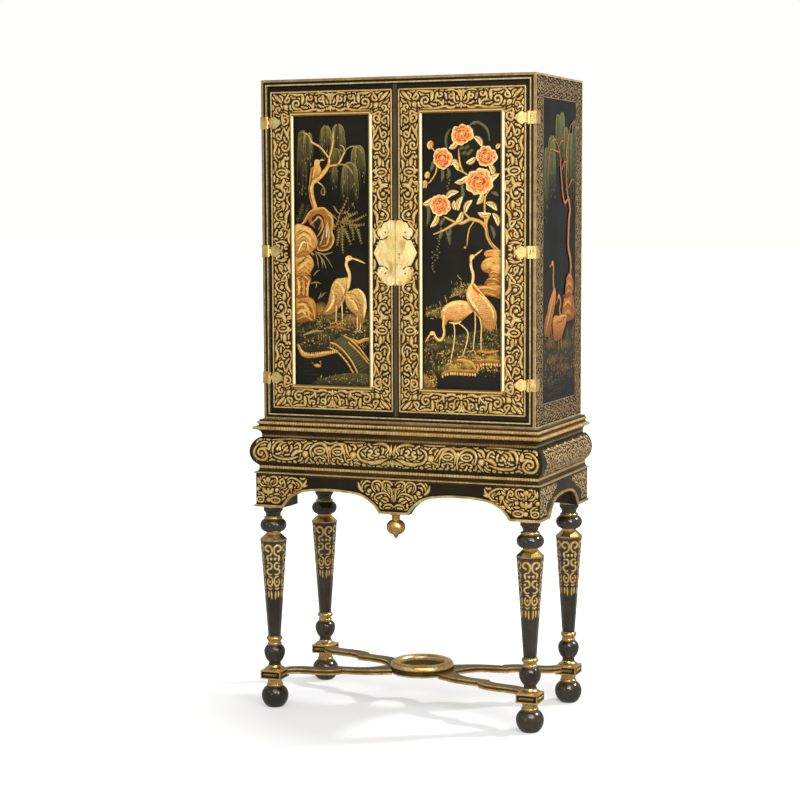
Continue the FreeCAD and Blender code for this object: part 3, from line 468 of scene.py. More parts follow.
def engraving(tree):
    """Mask of the cut lines on a lock plate: upright waves, and one level line."""
    x, y, z = tree.millimetres()
    rise = tree.minus(z, LOCK_LEVEL)
    wave = tree.plus(tree.size(x), tree.times(tree.math("SINE", tree.times(rise, 0.11)), 6.0))
    line = tree.size(tree.minus(tree.math("PINGPONG", wave, 12.0), 6.0))
    level = tree.size(tree.plus(rise, 29.0))
    cut = tree.either(tree.reach(line, 0.0, 0.9, 0.55, 0.0), tree.reach(level, 0.0, 0.8, 0.7, 0.0))
    return tree.times(cut, tree.patches(24.0, 3.0, 0.55, (0.42, 0.55)))


def brass(name, rough=0.20, base=rgb(222, 180, 100), pale=rgb(250, 228, 160), metal=0.85, engraved=False):
    """Brushed brass, a little tarnished; the lock plates have engraved lines and rubbed hollows."""
    tree = Tree(name)
    colour = tree.mix(tree.patches(30.0, 4.0, 0.6, (0.35, 0.7)), base, pale)
    tarnish = tree.patches(55.0, 3.0, 0.7, (0.50, 0.66), (0.0, 0.8), (1.0, 1.0, 0.35))
    colour = tree.mix(tarnish, colour, rgb(180, 130, 52))
    height = tree.noise(240.0, 3.0, 0.6, (1.0, 1.0, 0.2))
    if engraved:
        hollows = tree.patches(20.0, 5.0, 0.65, (0.5, 0.72), (0.0, 0.7), (1.0, 1.0, 0.5))
        colour = tree.mix(hollows, colour, rgb(186, 134, 56))
        cut = engraving(tree)
        colour = tree.mix(cut, colour, rgb(150, 100, 40))
        height = tree.minus(height, cut)
    tree.set(Base_Color=colour, Metallic=metal, Specular_IOR_Level=0.5,
             Roughness=tree.patches(45.0, 3.0, 0.55, (0.3, 0.7), (rough - 0.05, rough + 0.12)))
    tree.bump(height, 0.4, 0.25)
    return tree.material


def oak_material():
    """Plain oak with its grain along the boards."""
    tree = Tree("oak")
    grain = tree.noise(90.0, 5.0, 0.6, (0.08, 1.0, 1.0))
    colour = tree.mix(tree.reach(grain, 0.35, 0.65), rgb(42, 30, 18), rgb(64, 46, 28))
    tree.set(Base_Color=colour, Roughness=0.65, Metallic=0.0)
    tree.bump(grain, 0.4, 0.3)
    return tree.material


def iron_material():
    tree = Tree("iron")
    colour = tree.mix(tree.patches(60.0, 4.0, 0.55, (0.4, 0.65)), rgb(52, 50, 48), rgb(84, 68, 56))
    tree.set(Base_Color=colour, Metallic=0.7, Roughness=0.5)
    tree.bump(tree.noise(300.0, 3.0), 0.4, 0.2)
    return tree.material


def painted(name, dulled=None):
    """Japanned picture: the strokes' own colours, slightly mottled, with gilt strokes that shine."""
    tree = Tree(name)
    own = tree.attribute("paint", "Color")
    if dulled:
        own = tree.darkened(own, dulled)
    mottling = tree.patches(150.0, 4.0, 0.65, (0.35, 0.7), (0.0, 0.62))
    tree.set(Base_Color=tree.mix(mottling, own, tree.darkened(own, rgb(178, 150, 110))),
             Metallic=tree.times(tree.attribute("paint", "Alpha"), 0.5),
             Roughness=tree.patches(80.0, 3.0, 0.55, (0.3, 0.7), (0.30, 0.45)), Specular_IOR_Level=0.22)
    tree.bump(tree.noise(340.0, 4.0), 0.3, 0.12)
    return tree.material


def floor_material():
    """Pale floor that glows more with its distance from the object, as the photograph's surroundings do."""
    tree = Tree("floor")
    tint = tree.mix(tree.patches(0.8, 2.0, 0.55, (0.3, 0.7)), rgb(168, 168, 167), rgb(174, 174, 173))
    x, y, z = tree.millimetres()
    tree.set(Base_Color=tint, Roughness=0.6, Specular_IOR_Level=0.0, Emission_Color=WHITE,
             Emission_Strength=tree.reach(tree.distance(x, y), 400.0, 760.0, 0.45, 0.80))
    return tree.material


MOULDING_GOLD = dict(base=rgb(206, 164, 94), pale=rgb(244, 210, 142), deep=rgb(92, 60, 22), gold_wear=0.9,
                     metal=0.7, nicks=7.5)
TURNED = dict(black=rgb(27, 23, 11), worn=rgb(68, 60, 42), gloss=0.13, specular=0.75, metal=0.95,
              base=rgb(204, 160, 86), pale=rgb(248, 216, 146), gold_rough=0.27, gold_wear=0.8)
MATERIALS = {
    "lacquer": lacquer("lacquer"),
    "case": case_material(),
    "door": door_material(),
    "panel": lacquer("panel_lacquer", black=rgb(16, 15, 8), worn=rgb(32, 29, 18)),
    "surbase": zoned("surbase_gilt", (744.2, 752.4, 1.0), (757.6, 765.4, 1.0), (724.5, 729.5, 0.3),
                     black=rgb(42, 30, 12), worn=rgb(88, 64, 30), **MOULDING_GOLD),
    "lower": zoned("lower_gilt", (629.2, 632.8, 0.9), (642.4, 648.4, 1.0), black=rgb(36, 27, 12),
                   worn=rgb(78, 58, 28), **MOULDING_GOLD),
    "frieze": lacquer("frieze_lacquer", black=rgb(30, 24, 12), worn=rgb(58, 46, 26)),
    "leg": zoned("leg_gilt", (98.0, 112.0, 1.0), (166.5, 190.3, 1.0), (448.0, 471.0, 1.0),
                 (504.6, 511.6, 1.0), (536.6, 541.0, 1.0), **TURNED),
    "foot": zoned("foot_gilt", (55.5, 80.0, 1.0), **TURNED),
    "arm": arm_material(),
    "bead": bead_material(),
    "ring": ring_material(),
    # raised, dull and faded gilding carry painted shade on their strokes' flanks
    "raised": gilding("raised_gilt", 0.36, base=rgb(226, 184, 96), wear=0.35, flank_shade=rgb(126, 88, 42)),
    "dull": gilding("dull_gilt", 0.5, 0.35, rgb(138, 110, 66), rgb(176, 148, 98), rgb(92, 66, 32),
                    flank_shade=rgb(120, 92, 58)),
    "faded": gilding("faded_gilt", 0.46, 0.45, rgb(186, 154, 96), rgb(224, 198, 144), rgb(116, 84, 40),
                     flank_shade=rgb(128, 98, 60)),
    "antique": gilding("antique_gilt", 0.30, 0.92, rgb(190, 148, 78), rgb(240, 206, 134), rgb(92, 60, 22),
                       wear=0.9),
    "edge": gilding("edge_gilt", 0.33, 0.85, rgb(192, 150, 80), wear=0.8),
    "brass": brass("brass"),
    "plate": brass("plate_brass", 0.24, rgb(246, 214, 128), rgb(255, 242, 188), 0.6, engraved=True),
    "oak": oak_material(),
    "iron": iron_material(),
    "paint": painted("picture"),
    "dull_paint": painted("dull_picture", rgb(232, 220, 198)),
}
# Start of a node's name, without its side, and the material that it gets
LOOKS = (("carcase_", "case"), ("shelf_pins", "brass"), ("shelf_", "lacquer"), ("door_panel_bead", "bead"),
         ("door_panel", "panel"), ("door_hinge_leaves", "brass"), ("door_bolt_fittings", "brass"),
         ("door_", "door"), ("hinge_case_leaves", "brass"), ("lock_plate", "plate"), ("lock_bolt", "brass"),
         ("lock_case", "iron"), ("flush_bolt", "brass"), ("surbase", "surbase"), ("frieze", "frieze"),
         ("lower_moulding", "lower"), ("apron_edge_beads", "edge"), ("apron_finial", "antique"),
         ("apron_", "lacquer"), ("stand_back", "lacquer"), ("stand_", "oak"), ("leg_", "leg"),
         ("ball_foot", "foot"), ("stretcher_arm", "arm"), ("stretcher_ring", "ring"))


def dress():
    """Material of each CAD node, by the first of LOOKS that fits."""
    for name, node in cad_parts.items():
        plain = name.removeprefix("left_").removeprefix("right_")
        look = next(look for start, look in LOOKS if plain.startswith(start))
        node.data.materials.clear()
        node.data.materials.append(MATERIALS[look])


# ---- Lines in the plane, in millimetres ----
def turned(centre, u, v, angle):
    """The point at u and v from the centre, with these two axes turned by the angle."""
    return (centre[0] + u * math.cos(angle) - v * math.sin(angle),
            centre[1] + u * math.sin(angle) + v * math.cos(angle))


def aside(along):
    """A direction turned a quarter to the left."""
    return Vector((-along.y, along.x))


def smooth(points, step=2.5):
    """Points about step apart along a smooth curve through the given ones."""
    points = [Vector(p) for p in points]
    if len(points) == 2:
        count = max(2, int((points[1] - points[0]).length / step) + 1)
        return [points[0].lerp(points[1], i / count) for i in range(count + 1)]
    closed = (points[0] - points[-1]).length < 1e-6
    before = points[-2] if closed else points[0] * 2 - points[1]
    after = points[1] if closed else points[-1] * 2 - points[-2]
    full = [before] + points + [after]
    line = []
    for p0, p1, p2, p3 in zip(full, full[1:], full[2:], full[3:]):
        count = max(1, round((p2 - p1).length / step))
        for i in range(count):
            t = i / count
            line.append(0.5 * (2 * p1 + (p2 - p0) * t + (2 * p0 - 5 * p1 + 4 * p2 - p3) * t * t
                               + (3 * p1 - p0 - 3 * p2 + p3) * t ** 3))
    return line + [points[-1]]


EYE = 0.26      # inner radius of a spiral, as a share of its outer one


def spiral(centre, radius, start, turns):
    """Points from the outside of a spiral to its eye; start in degrees, turns positive anticlockwise."""
    count = max(6, int(abs(turns) * 12))
    line = []
    for i in range(count + 1):
        share = i / count
        angle = math.radians(start + 360 * turns * share)
        reach = radius * (1 - (1 - EYE) * share ** 0.9)
        line.append((centre[0] + reach * math.cos(angle), centre[1] + reach * math.sin(angle)))
    return line


def swelling(count, first, middle, last):
    """Half-width factors along a stroke, from its first end over its middle to its last."""
    factors = []
    for i in range(count):
        share = i / (count - 1)
        base = first + (middle - first) * min(1.0, share * 3) ** 0.7
        tail = last + (middle - last) * min(1.0, (1 - share) * 3) ** 0.7
        factors.append(min(base, tail))
    return factors


def flanked(line, halves):
    """Index, point and step to the left edge of a stroke along a line, leaving out doubled points."""
    last = len(line) - 1
    for i, (point, half) in enumerate(zip(line, halves)):
        along = line[min(i + 1, last)] - line[max(i - 1, 0)]
        if along.length >= 1e-9:
            along.normalize()
            yield i, point, aside(along) * half


class Surface:
    """Mesh made of strokes on one surface. surface(a, b, height) gives a point, all in millimetres."""

    def __init__(self, surface, blocked=None):
        self.surface, self.blocked = surface, blocked
        self.place = lambda a, b: (a, b)       # where a drawing's point comes to lie on the surface
        self.points, self.faces, self.values = [], [], []

    def add(self, rows, value_rows, closed=False):
        """Grid of points (a, b, height), as rows of equal length, with its values. It faces outwards."""
        first = len(self.points)
        width = len(rows[0])
        for row in rows:
            for a, b, height in row:
                self.points.append(self.surface(*self.place(a, b), height))
        for row in value_rows:
            self.values.extend(row)
        faces = []
        for i in range(len(rows) - 1):
            for j in range(width if closed else width - 1):
                k = (j + 1) % width
                faces.append((first + i * width + j, first + (i + 1) * width + j,
                              first + (i + 1) * width + k, first + i * width + k))
        self.faces.extend(self.outward(rows, faces))

    def outward(self, rows, faces):
        """The faces, turned over if they look into the surface."""
        a, b, _ = rows[len(rows) // 2][len(rows[0]) // 2]
        spot = self.place(a, b)
        out = self.surface(*spot, 1.0) - self.surface(*spot, 0.0)
        total = Vector((0, 0, 0))
        for face in faces:
            p = [self.points[i] for i in face]
            total += (p[2] - p[0]).cross(p[3] - p[1])
        return [face[::-1] for face in faces] if total.dot(out) < 0 else faces

    def hidden(self, point):
        return self.blocked is not None and self.blocked(*self.place(*point))

    def object(self, name, body, material):
        mesh = bpy.data.meshes.new(name)
        mesh.from_pydata([p * MM for p in self.points], [], self.faces)
        self.store(mesh)
        for polygon in mesh.polygons:
            polygon.use_smooth = True
        mesh.materials.append(MATERIALS[material])
        piece = bpy.data.objects.new(name, mesh)
        bpy.context.scene.collection.objects.link(piece)
        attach(piece, body)
        return piece


class Relief(Surface):
    """Raised gilt work: domed strokes. The values are painted light, 0 on the flanks, which get painted
    shade, and 1 on the crest.
    """
    # Share of the half-width, share of the rise, and painted light (painted shade towards the flanks and
    # rim), across a stroke and from a boss's rim to its top
    STROKE = ((-1.0, -0.15, 0.0), (-0.62, 0.72, 0.55), (0.0, 1.0, 1.0), (0.62, 0.72, 0.55),
              (1.0, -0.15, 0.0))
    BOSS = ((1.0, -0.15, 0.0), (0.8, 0.7, 0.6), (0.4, 1.0, 0.9), (0.05, 1.1, 1.0))
    BOSS_SIDES = 10
    RISE, BOSS_RISE, LINE_RISE = 0.9, 1.15, 0.6
    END_RISE = 0.35        # share of its rise that a stroke has at its two ends
    CELL = 8
    # Leaves in the gaps: least distance from the strokes, limits of their half-width, and how they are grown
    CLEAR, WIDEST, LEAST, STEP, LONGEST = 2.0, 3.0, 1.3, 1.6, 6
    WAYS = (-0.5, -0.25, 0.0, 0.25, 0.5)

    def __init__(self, surface, blocked=None, bold=1.0):
        super().__init__(surface, blocked)
        self.bold = bold       # all widths are multiplied by this
        self.marks = {}        # middle and half-width of what has been drawn, by square cells

    def mark(self, a, b, half):
        self.marks.setdefault((a // self.CELL, b // self.CELL), []).append((a, b, half))

    def store(self, mesh):
        # Painted light for each point: painted shade on the strokes' flanks, full colour on their crests.
        mesh.attributes.new("painted_light", "FLOAT", "POINT").data.foreach_set("value", self.values)

    def run(self, line, halves, rise=RISE):
        rows = []
        for i, point, side in flanked(line, halves):
            side = side * self.bold
            end = self.END_RISE if i in (0, len(line) - 1) else 1.0
            rows.append([(point.x + side.x * s, point.y + side.y * s, rise * h * end)
                         for s, h, _ in self.STROKE])
            self.mark(point.x, point.y, halves[i] * self.bold)
        if len(rows) > 1:
            self.add(rows, [[painted_light for _, _, painted_light in self.STROKE]] * len(rows))

    def stroke(self, points, width, first=0.35, last=0.3, rise=RISE):
        """Domed line of that width, with its ends narrowed to a share of it."""
        line = smooth(points)
        halves = [factor * width / 2 for factor in swelling(len(line), first, 1.0, last)]
        part, part_halves = [], []
        for point, half in zip(line, halves):
            if self.hidden(point):
                if len(part) > 2:
                    self.run(part, part_halves, rise)
                part, part_halves = [], []
            else:
                part.append(point)
                part_halves.append(half)
        if len(part) > 1:
            self.run(part, part_halves, rise)

    def curl(self, centre, radius, start, turns, width, lead=()):
        """Scroll: the lead's points, then an open spiral that ends in a small boss.

        It gets fewer turns than asked for where its windings would touch.
        """
        most = max(0.6, 0.74 * (radius - width / 2) / (1.35 * width * self.bold))
        turns = math.copysign(min(abs(turns), most), turns)
        line = list(lead) + spiral(centre, radius - width / 2, start, turns)
        self.stroke(line, width, first=0.3, last=0.8)
        self.boss(line[-1], width * 0.52)

    def boss(self, centre, radius):
        if self.hidden(centre):
            return
        self.mark(centre[0], centre[1], radius * self.bold)
        rows, values = [], []
        for share, height, painted_light in self.BOSS:
            reach = radius * share * self.bold
            angles = [k * math.pi / (self.BOSS_SIDES / 2) for k in range(self.BOSS_SIDES)]
            rows.append([(centre[0] + reach * math.cos(angle), centre[1] + reach * math.sin(angle),
                          height * self.BOSS_RISE) for angle in angles])
            values.append([painted_light] * self.BOSS_SIDES)
        self.add(rows, values, closed=True)

    def leaf(self, root, tip, width, bend=0.0):
        """Pointed leaf from root to tip, bowed sideways by bend times its length."""
        root, tip = Vector(root), Vector(tip)
        line = smooth([root, root.lerp(tip, 0.5) + aside(tip - root) * bend, tip], 2.0)
        if any(self.hidden(point) for point in line):
            return
        last = len(line) - 1
        shares = [math.sin(math.pi * (0.12 + 0.88 * i / last)) ** 0.8 for i in range(last + 1)]
        self.run(line, [width / 2 * max(0.08, share) for share in shares])

    def ring(self, centre, a, b, width, turn=0.0):
        """Oval with half-axes a and b, turned by that many degrees."""
        angles = [k * math.pi / 6 for k in range(13)]
        points = [turned(centre, a * math.cos(t), b * math.sin(t), math.radians(turn)) for t in angles]
        self.stroke(points, width, first=1.0, last=1.0)

    def frame(self, a0, a1, b0, b1, width):
        """Gilt line round a rectangle, given by its middle line."""
        corners = ((a0, b0), (a1, b0), (a1, b1), (a0, b1), (a0, b0))
        for start, end in zip(corners, corners[1:]):
            self.stroke([start, end], width, first=1.0, last=1.0, rise=self.LINE_RISE)

    def room(self, spot, areas):
        """Distance from a spot to the next stroke, or to CLEAR outside the areas (anticlockwise corners)."""
        a, b = spot
        inside = max(min(((x1 - x0) * (b - y0) - (y1 - y0) * (a - x0)) / math.hypot(x1 - x0, y1 - y0)
                         for (x0, y0), (x1, y1) in zip(area, area[1:] + area[:1])) for area in areas)
        near = inside + self.CLEAR
        column, row = a // self.CELL, b // self.CELL
        for i in (-1, 0, 1):
            for j in (-1, 0, 1):
                for x, y, half in self.marks.get((column + i, row + j), ()):
                    near = min(near, math.hypot(a - x, b - y) - half)
        return near

    def gaps(self, areas):
        """Leaves that fill what is left between the strokes in these areas."""
        def room(spot):
            return self.room(spot, areas)

        def toward(spot, angle, reach=self.STEP):
            return spot[0] + reach * math.cos(angle), spot[1] + reach * math.sin(angle)

        def walk(spot, angle):
            line = []
            for _ in range(self.LONGEST):
                best, _, turn = max((room(toward(spot, angle + turn)), -abs(turn), turn)
                                    for turn in self.WAYS)
                if best < self.CLEAR + self.LEAST * 0.5:
                    break
                angle += turn
                spot = toward(spot, angle)
                line.append(spot)
            return line

        def grow(seed):
            angle = max((k * math.pi / 8 for k in range(8)),
                        key=lambda t: room(toward(seed, t, 3.0)) + room(toward(seed, t + math.pi, 3.0)))
            line = walk(seed, angle + math.pi)[::-1] + [seed] + walk(seed, angle)
            return line if len(line) > 2 else [toward(seed, angle + math.pi), seed, toward(seed, angle)]

        seeds = set()
        for area in areas:
            low_a, low_b = min(a for a, _ in area), min(b for _, b in area)
            for i in range(int((max(a for a, _ in area) - low_a) / self.STEP) + 1):
                for j in range(int((max(b for _, b in area) - low_b) / self.STEP) + 1):
                    seeds.add((low_a + i * self.STEP, low_b + j * self.STEP))
        found = []
        for space, seed in sorted(((room(seed), seed) for seed in seeds), reverse=True):
            if space < self.CLEAR + self.LEAST:
                break
            if room(seed) < self.CLEAR + self.LEAST:
                continue
            line = grow(seed)
            halves = [max(0.6, min(self.WIDEST, room(spot) - self.CLEAR)) for spot in line]
            last = len(line) - 1
            halves = [(halves[max(i - 1, 0)] + halves[i] + halves[min(i + 1, last)]) / 3
                      for i in range(last + 1)]
            halves[0] *= 0.6
            halves[last] *= 0.6
            for (a, b), half in zip(line, halves):
                self.mark(a, b, half)
            found.append((line, halves))
        return found

    def leaves(self, found):
        """Draw what gaps() has found, up to where something hides it."""
        for line, halves in found:
            seen = []
            for spot, half in zip(line, halves):
                if self.hidden(Vector(spot)):
                    seen = seen if len(seen) > 2 else []
                    if seen:
                        break
                else:
                    seen.append((Vector(spot), half / self.bold))
            if len(seen) > 1:
                self.run([spot for spot, half in seen], [half for spot, half in seen])


def filling(draw, bold, *areas):
    """Leaves for the gaps of a pattern, found once for all the places where it comes."""
    work = Relief(lambda a, b, height: Vector((a, height, b)), bold=bold)
    draw(work)
    return work.gaps(areas)


# ---- Ornament ----
def behind(*names):
    """Test for points (x, z) that these CAD nodes cover, seen from the front."""
    groups = []
    for name in names:
        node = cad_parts[name]
        node.data.calc_loop_triangles()
        corners = [node.matrix_world @ vertex.co / MM for vertex in node.data.vertices]
        triangles = [[(corners[i].x, corners[i].z) for i in triangle.vertices]
                     for triangle in node.data.loop_triangles if triangle.normal.y < -0.9]
        groups.append((*span(name), triangles))

    def covered(x, z):
        for low, high, triangles in groups:
            if low.x < x < high.x and low.z < z < high.z:
                for triangle in triangles:
                    sides = [(x1 - x0) * (z - z0) - (z1 - z0) * (x - x0)
                             for (x0, z0), (x1, z1) in zip(triangle, triangle[1:] + triangle[:1])]
                    if min(sides) >= 0 or max(sides) <= 0:
                        return True
        return False
    return covered


BORDER_BOLD, SHAFT_BOLD = 1.22, 1.5


def border_quarter(work):
    """Corner, half a rail and half a stile: a from the border's outer edge, b down from its top."""
    leaf, curl, stroke, boss, ring = work.leaf, work.curl, work.stroke, work.boss, work.ring
    # Corner
    leaf((9, 6), (33, 29), 9)
    leaf((24, 8), (34, 24), 6, -0.2)
    leaf((8, 24), (24, 33), 6, 0.2)
    curl((47, 18), 12, 140, -1.4, 5, [(62, 6), (52, 6)])
    curl((22, 45), 12, 100, 1.4, 5, [(8, 62), (9, 50)])
    boss((43, 38), 5.5)
    leaf((37, 33), (50, 46), 6, 0.2)
    # Rail
    curl((73, 31), 17, 60, 1.75, 5.5, [(60, 50), (88, 50)])
    stroke([(90, 6), (91, 18), (89, 32)], 9, 0.5, 0.3)
    stroke([(60, 6), (75, 8), (88, 7)], 7)
    curl((113, 15), 11.5, 200, -1.4, 5, [(104, 36), (101, 24)])
    stroke([(84, 50), (102, 50), (122, 46), (132, 48)], 6)
    stroke([(94, 33), (104, 30), (114, 36), (119, 45)], 5)
    leaf((121, 28), (119, 46), 6)
    curl((141, 20), 12.5, -60, 1.3, 5, [(163, 36), (152, 36)])
    leaf((126, 44), (156, 44), 9, 0.22)
    stroke([(126, 8), (138, 5), (152, 6)], 5)
    # Middle of the rail
    leaf((164, 22), (150, 7), 6, 0.25)
    leaf((168, 20), (160, 4), 6, 0.2)
    stroke([(168, 17), (168, 33)], 5, 0.8, 0.5)
    curl((159, 44), 6, 0, 1.1, 4, [(168, 36)])
    leaf((168, 38), (168, 51), 7)
    # Stile, down to the first node
    curl((40, 71), 15, 120, -1.6, 5.5, [(54, 50), (52, 62), (33, 56)])
    leaf((52, 88), (52, 128), 6, 0.12)
    stroke([(36, 90), (40, 100), (46, 116)], 5)
    curl((22, 111), 12, 60, 1.4, 5, [(36, 92), (32, 100)])
    curl((19, 79), 11, -60, 1.3, 5, [(8, 94), (10, 66)])
    curl((39, 140), 14.5, 30, 1.45, 5.5, [(52, 124), (52, 136)])
    leaf((7, 120), (10, 154), 8, -0.12)
    stroke([(34, 155), (28, 163), (20, 166), (15, 160)], 5)
    stroke([(19, 132), (9, 148), (10, 165), (20, 178)], 5)
    curl((46, 168), 9, 200, -1.1, 5, [(34, 182), (36, 172)])
    leaf((33, 172), (33, 194), 11)
    ring((29, 208), 14, 9, 5, 6)
    curl((49, 205), 9, 120, 1.1, 5, [(36, 192), (42, 196)])
    leaf((8, 176), (9, 204), 7, -0.15)
    stroke([(50, 222), (43, 218), (34, 217), (24, 224)], 5)
    curl((47, 234), 8, 90, -1.1, 4.5, [(36, 226)])
    leaf((36, 222), (10, 244), 10, -0.25)
    leaf((10, 238), (32, 258), 8, -0.3)
    curl((46, 252), 9, 0, 1.2, 5, [(52, 238)])
    stroke([(22, 246), (35, 250), (38, 262), (31, 275), (18, 273), (13, 262)], 5.5)
    boss((24, 262), 5)
    leaf((8, 212), (8, 232), 6)
    stroke([(50, 264), (44, 270), (45, 280), (52, 290)], 5)
    leaf((33, 280), (33, 303), 11)
    curl((17, 289), 7.5, 0, 1.2, 4.5, [(30, 284)])
    stroke([(30, 300), (16, 307), (10, 317), (15, 326), (27, 330)], 5.5)
    boss((26, 314), 5)
    leaf((51, 302), (42, 336), 9, 0.18)
    curl((34, 340), 12.5, 220, 1.5, 5, [(52, 350), (46, 356)])
    leaf((20, 333), (8, 352), 8, 0.2)
    leaf((51, 350), (34, 378), 7, -0.12)
    leaf((50, 362), (50, 390), 7, 0.1)
    curl((23, 362), 11.5, 120, -1.4, 5, [(38, 354), (30, 350)])
    stroke([(42, 386), (28, 383), (12, 386)], 6)
    curl((40, 400), 10, -60, -1.3, 5, [(28, 386), (36, 390)])
    curl((17, 398), 9, 240, 1.3, 5, [(10, 384)])


def door_border(sign, side, fill):
    """Border of one door; sign is 1 for the right door and -1 for the left."""
    under = behind(side + "_door_hinge_leaves", side + "_lock_plate")
    work = Relief(lambda x, z, h: Vector((x, DOOR_FRONT - h, z)), under, BORDER_BOLD)
    for edge, way in ((BORDER_OUT, -1), (BORDER_IN, 1)):
        for level, rise in ((BORDER_TOP, -1), (BORDER_BOTTOM, 1)):
            work.place = lambda a, b: (sign * (edge + way * a), level + rise * b)
            border_quarter(work)
            work.leaves(fill)
    work.place = lambda a, b: (sign * a, b)
    work.frame(BORDER_IN + 0.8, BORDER_OUT - 0.6, BORDER_BOTTOM + 0.8, BORDER_TOP - 0.8, 3.6)
    work.object(side + "_door_border", side + "_door", "raised")


def frieze_half(work):
    """Left half of the front frieze: a from the middle, b up from its widest level."""
    leaf, curl, stroke, boss, ring = work.leaf, work.curl, work.stroke, work.boss, work.ring
    curl((-370, -2), 15, 60, 1.5, 6, [(-352, 26), (-368, 26), (-384, 14), (-390, -4), (-380, -19),
                                      (-362, -20), (-352, -10), (-356, 2)])
    stroke([(-345, 8), (-360, 11), (-374, 6), (-379, -3)], 5)
    leaf((-347, 6), (-347, 28), 9)
    stroke([(-311, 30), (-327, 27), (-336, 13), (-335, -2)], 6)
    curl((-317, 10), 10, 200, -1.2, 5, [(-300, 27), (-314, 24)])
    curl((-294, 9), 9.5, 90, 1.3, 5, [(-308, -4), (-303, 8)])
    stroke([(-276, 20), (-268, 27), (-260, 22), (-257, 8)], 5)
    leaf((-282, -7), (-248, 8), 9, 0.14)
    stroke([(-336, -6), (-320, -14), (-290, -15), (-262, -7)], 6)
    boss((-242, 0), 7)
    stroke([(-250, 12), (-241, 26), (-226, 29)], 6)
    leaf((-246, -24), (-232, -6), 6)
    for shift, half in ((-202, 26), (-151, 22)):
        stroke([(shift - half + 3, -8), (shift - half, 12), (shift - half + 10, 25), (shift, 29),
                (shift + half - 12, 23), (shift + half - 3, 6), (shift + half, -14)], 6)
        ring((shift, 10), 14, 8, 4.5)
        curl((shift - 11, -13), 8, 60, 1.2, 4, [(shift + 2, -4)])
        curl((shift + 11, -14), 8, 120, -1.2, 4, [(shift - 2, -4)])
    boss((-177, 17), 4.5)
    stroke([(-197, 34), (-177, 29), (-157, 34)], 4)
    stroke([(-177, -4), (-177, -24)], 4)
    stroke([(-150, 31), (-133, 27), (-125, 12), (-117, -2)], 5)
    boss((-107, 3), 7.5)
    curl((-106, 19), 7, 60, -1.1, 4.5, [(-120, 28), (-110, 29)])
    curl((-122, -15), 8, 60, 1.2, 4, [(-106, -4)])
    stroke([(-74, 27), (-90, 18), (-94, 4), (-84, -9), (-66, -13), (-44, -11), (-24, -3)], 6)
    stroke([(-86, 12), (-80, 4), (-72, 0)], 5)
    curl((-61, 14), 11, 240, 1.4, 5, [(-48, -2), (-62, 1)])
    curl((-40, 17), 11, -60, -1.4, 5, [(-54, 6), (-44, 4)])
    stroke([(-57, 31), (-38, 34), (-20, 31), (-11, 22), (-19, 8)], 6)
    leaf((-64, -18), (-10, -1), 7, -0.06)
    leaf((-30, -20), (-4, -8), 6)
    leaf((-4, 6), (-6, 34), 6)
    leaf((-1, -24), (-3, -4), 5)
    curl((-11, -20), 6, 60, 1.0, 3.5, [(-2, -10)])
    stroke([(-345, 32), (-300, 35), (-250, 35)], 3)
    stroke([(-140, 35), (-110, 34), (-80, 35)], 3)


def frieze_point(projection, b, height):
    """How far out and how high a point of the swelling frieze is."""
    angle = math.asin(max(-0.98, min(0.98, b / FRIEZE_RADIUS)))
    reach = FRIEZE_RADIUS + height
    return projection - FRIEZE_SINK + reach * math.cos(angle), FRIEZE_LEVEL + reach * math.sin(angle)


def front_frieze(x, b, height):
    out, z = frieze_point(0.0, b, height)
    return Vector((x, FRONT - out, z))


def running_scrolls(work, start, end, depth, cell, width, seed):
    """Waving stem with a scroll in each bend, from a = start to end, with b from -depth/2 to depth/2."""
    chance = random.Random(seed)
    count = max(2, round((end - start) / cell))
    step, half = (end - start) / count, depth / 2
    for i in range(count):
        way = 1 if i % 2 else -1
        a = start + step * (i + 0.5)
        b = way * half * chance.uniform(0.02, 0.16)
        radius = min(step * 0.44, half * 0.62)
        lead = (a - step * 0.62, -way * half * 0.72)
        work.curl((a, b), radius, 180 + chance.uniform(-20, 20), way * 1.4, width, [lead])
        work.leaf((a - step * 0.30, way * half * 0.94), (a + step * 0.34, way * half * 0.80),
                  width * 1.7, 0.15 * way)
        tip = (a + step * 0.56, way * half * chance.uniform(0.2, 0.5))
        work.leaf((a + radius * 0.9, b), tip, width * 1.5, 0.2 * way)
        work.boss((a - step * 0.46, way * half * chance.uniform(0.55, 0.75)), width * 0.8)
        work.leaf((a + step * 0.05, -way * half * 0.9), (a + step * 0.4, -way * half * 0.74),
                  width * 1.4, -0.2 * way)


def apron_corner(work):
    """Cluster at a lower corner of the front apron: a from its end, b up from its lower edge."""
    leaf, curl, stroke, boss, ring = work.leaf, work.curl, work.stroke, work.boss, work.ring
    boss((35, 72), 6.5)
    stroke([(13, 81), (11, 66), (17, 57), (29, 55)], 5)
    leaf((22, 74), (30, 60), 6)
    stroke([(41, 79), (52, 81), (61, 76), (60, 63), (45, 55)], 5.5)
    leaf((50, 72), (40, 62), 6)
    stroke([(35, 64), (35, 54)], 4, 0.8, 0.8)
    leaf((20, 50), (35, 36), 10, -0.15)
    leaf((49, 50), (35, 36), 10, 0.15)
    leaf((35, 50), (35, 30), 9)
    boss((5, 47), 5)
    leaf((6, 60), (6, 78), 6)
    stroke([(5, 39), (15, 36), (22, 29), (22, 20)], 4.5)
    ring((12, 19), 10, 7, 4)
    boss((36, 19), 5.5)
    ring((56, 19), 13, 7, 5)
    boss((60, 46), 5)
    leaf((52, 35), (69, 35), 6)
    curl((75, 67), 11, 60, 1.3, 5, [(68, 51), (84, 56)])
    stroke([(74, 29), (82, 34), (91, 44), (95, 51)], 5.5)
    leaf((73, 44), (81, 38), 6)
    boss((100, 57), 6)
    stroke([(101, 52), (103, 40)], 4)
    stroke([(90, 72), (101, 80), (116, 77), (130, 68), (132, 58), (124, 50), (110, 49)], 5.5)
    curl((105, 68), 6, 90, -1.0, 4, [(118, 60)])
    leaf((131, 60), (146, 78), 7, -0.15)
    leaf((132, 58), (149, 62), 6)


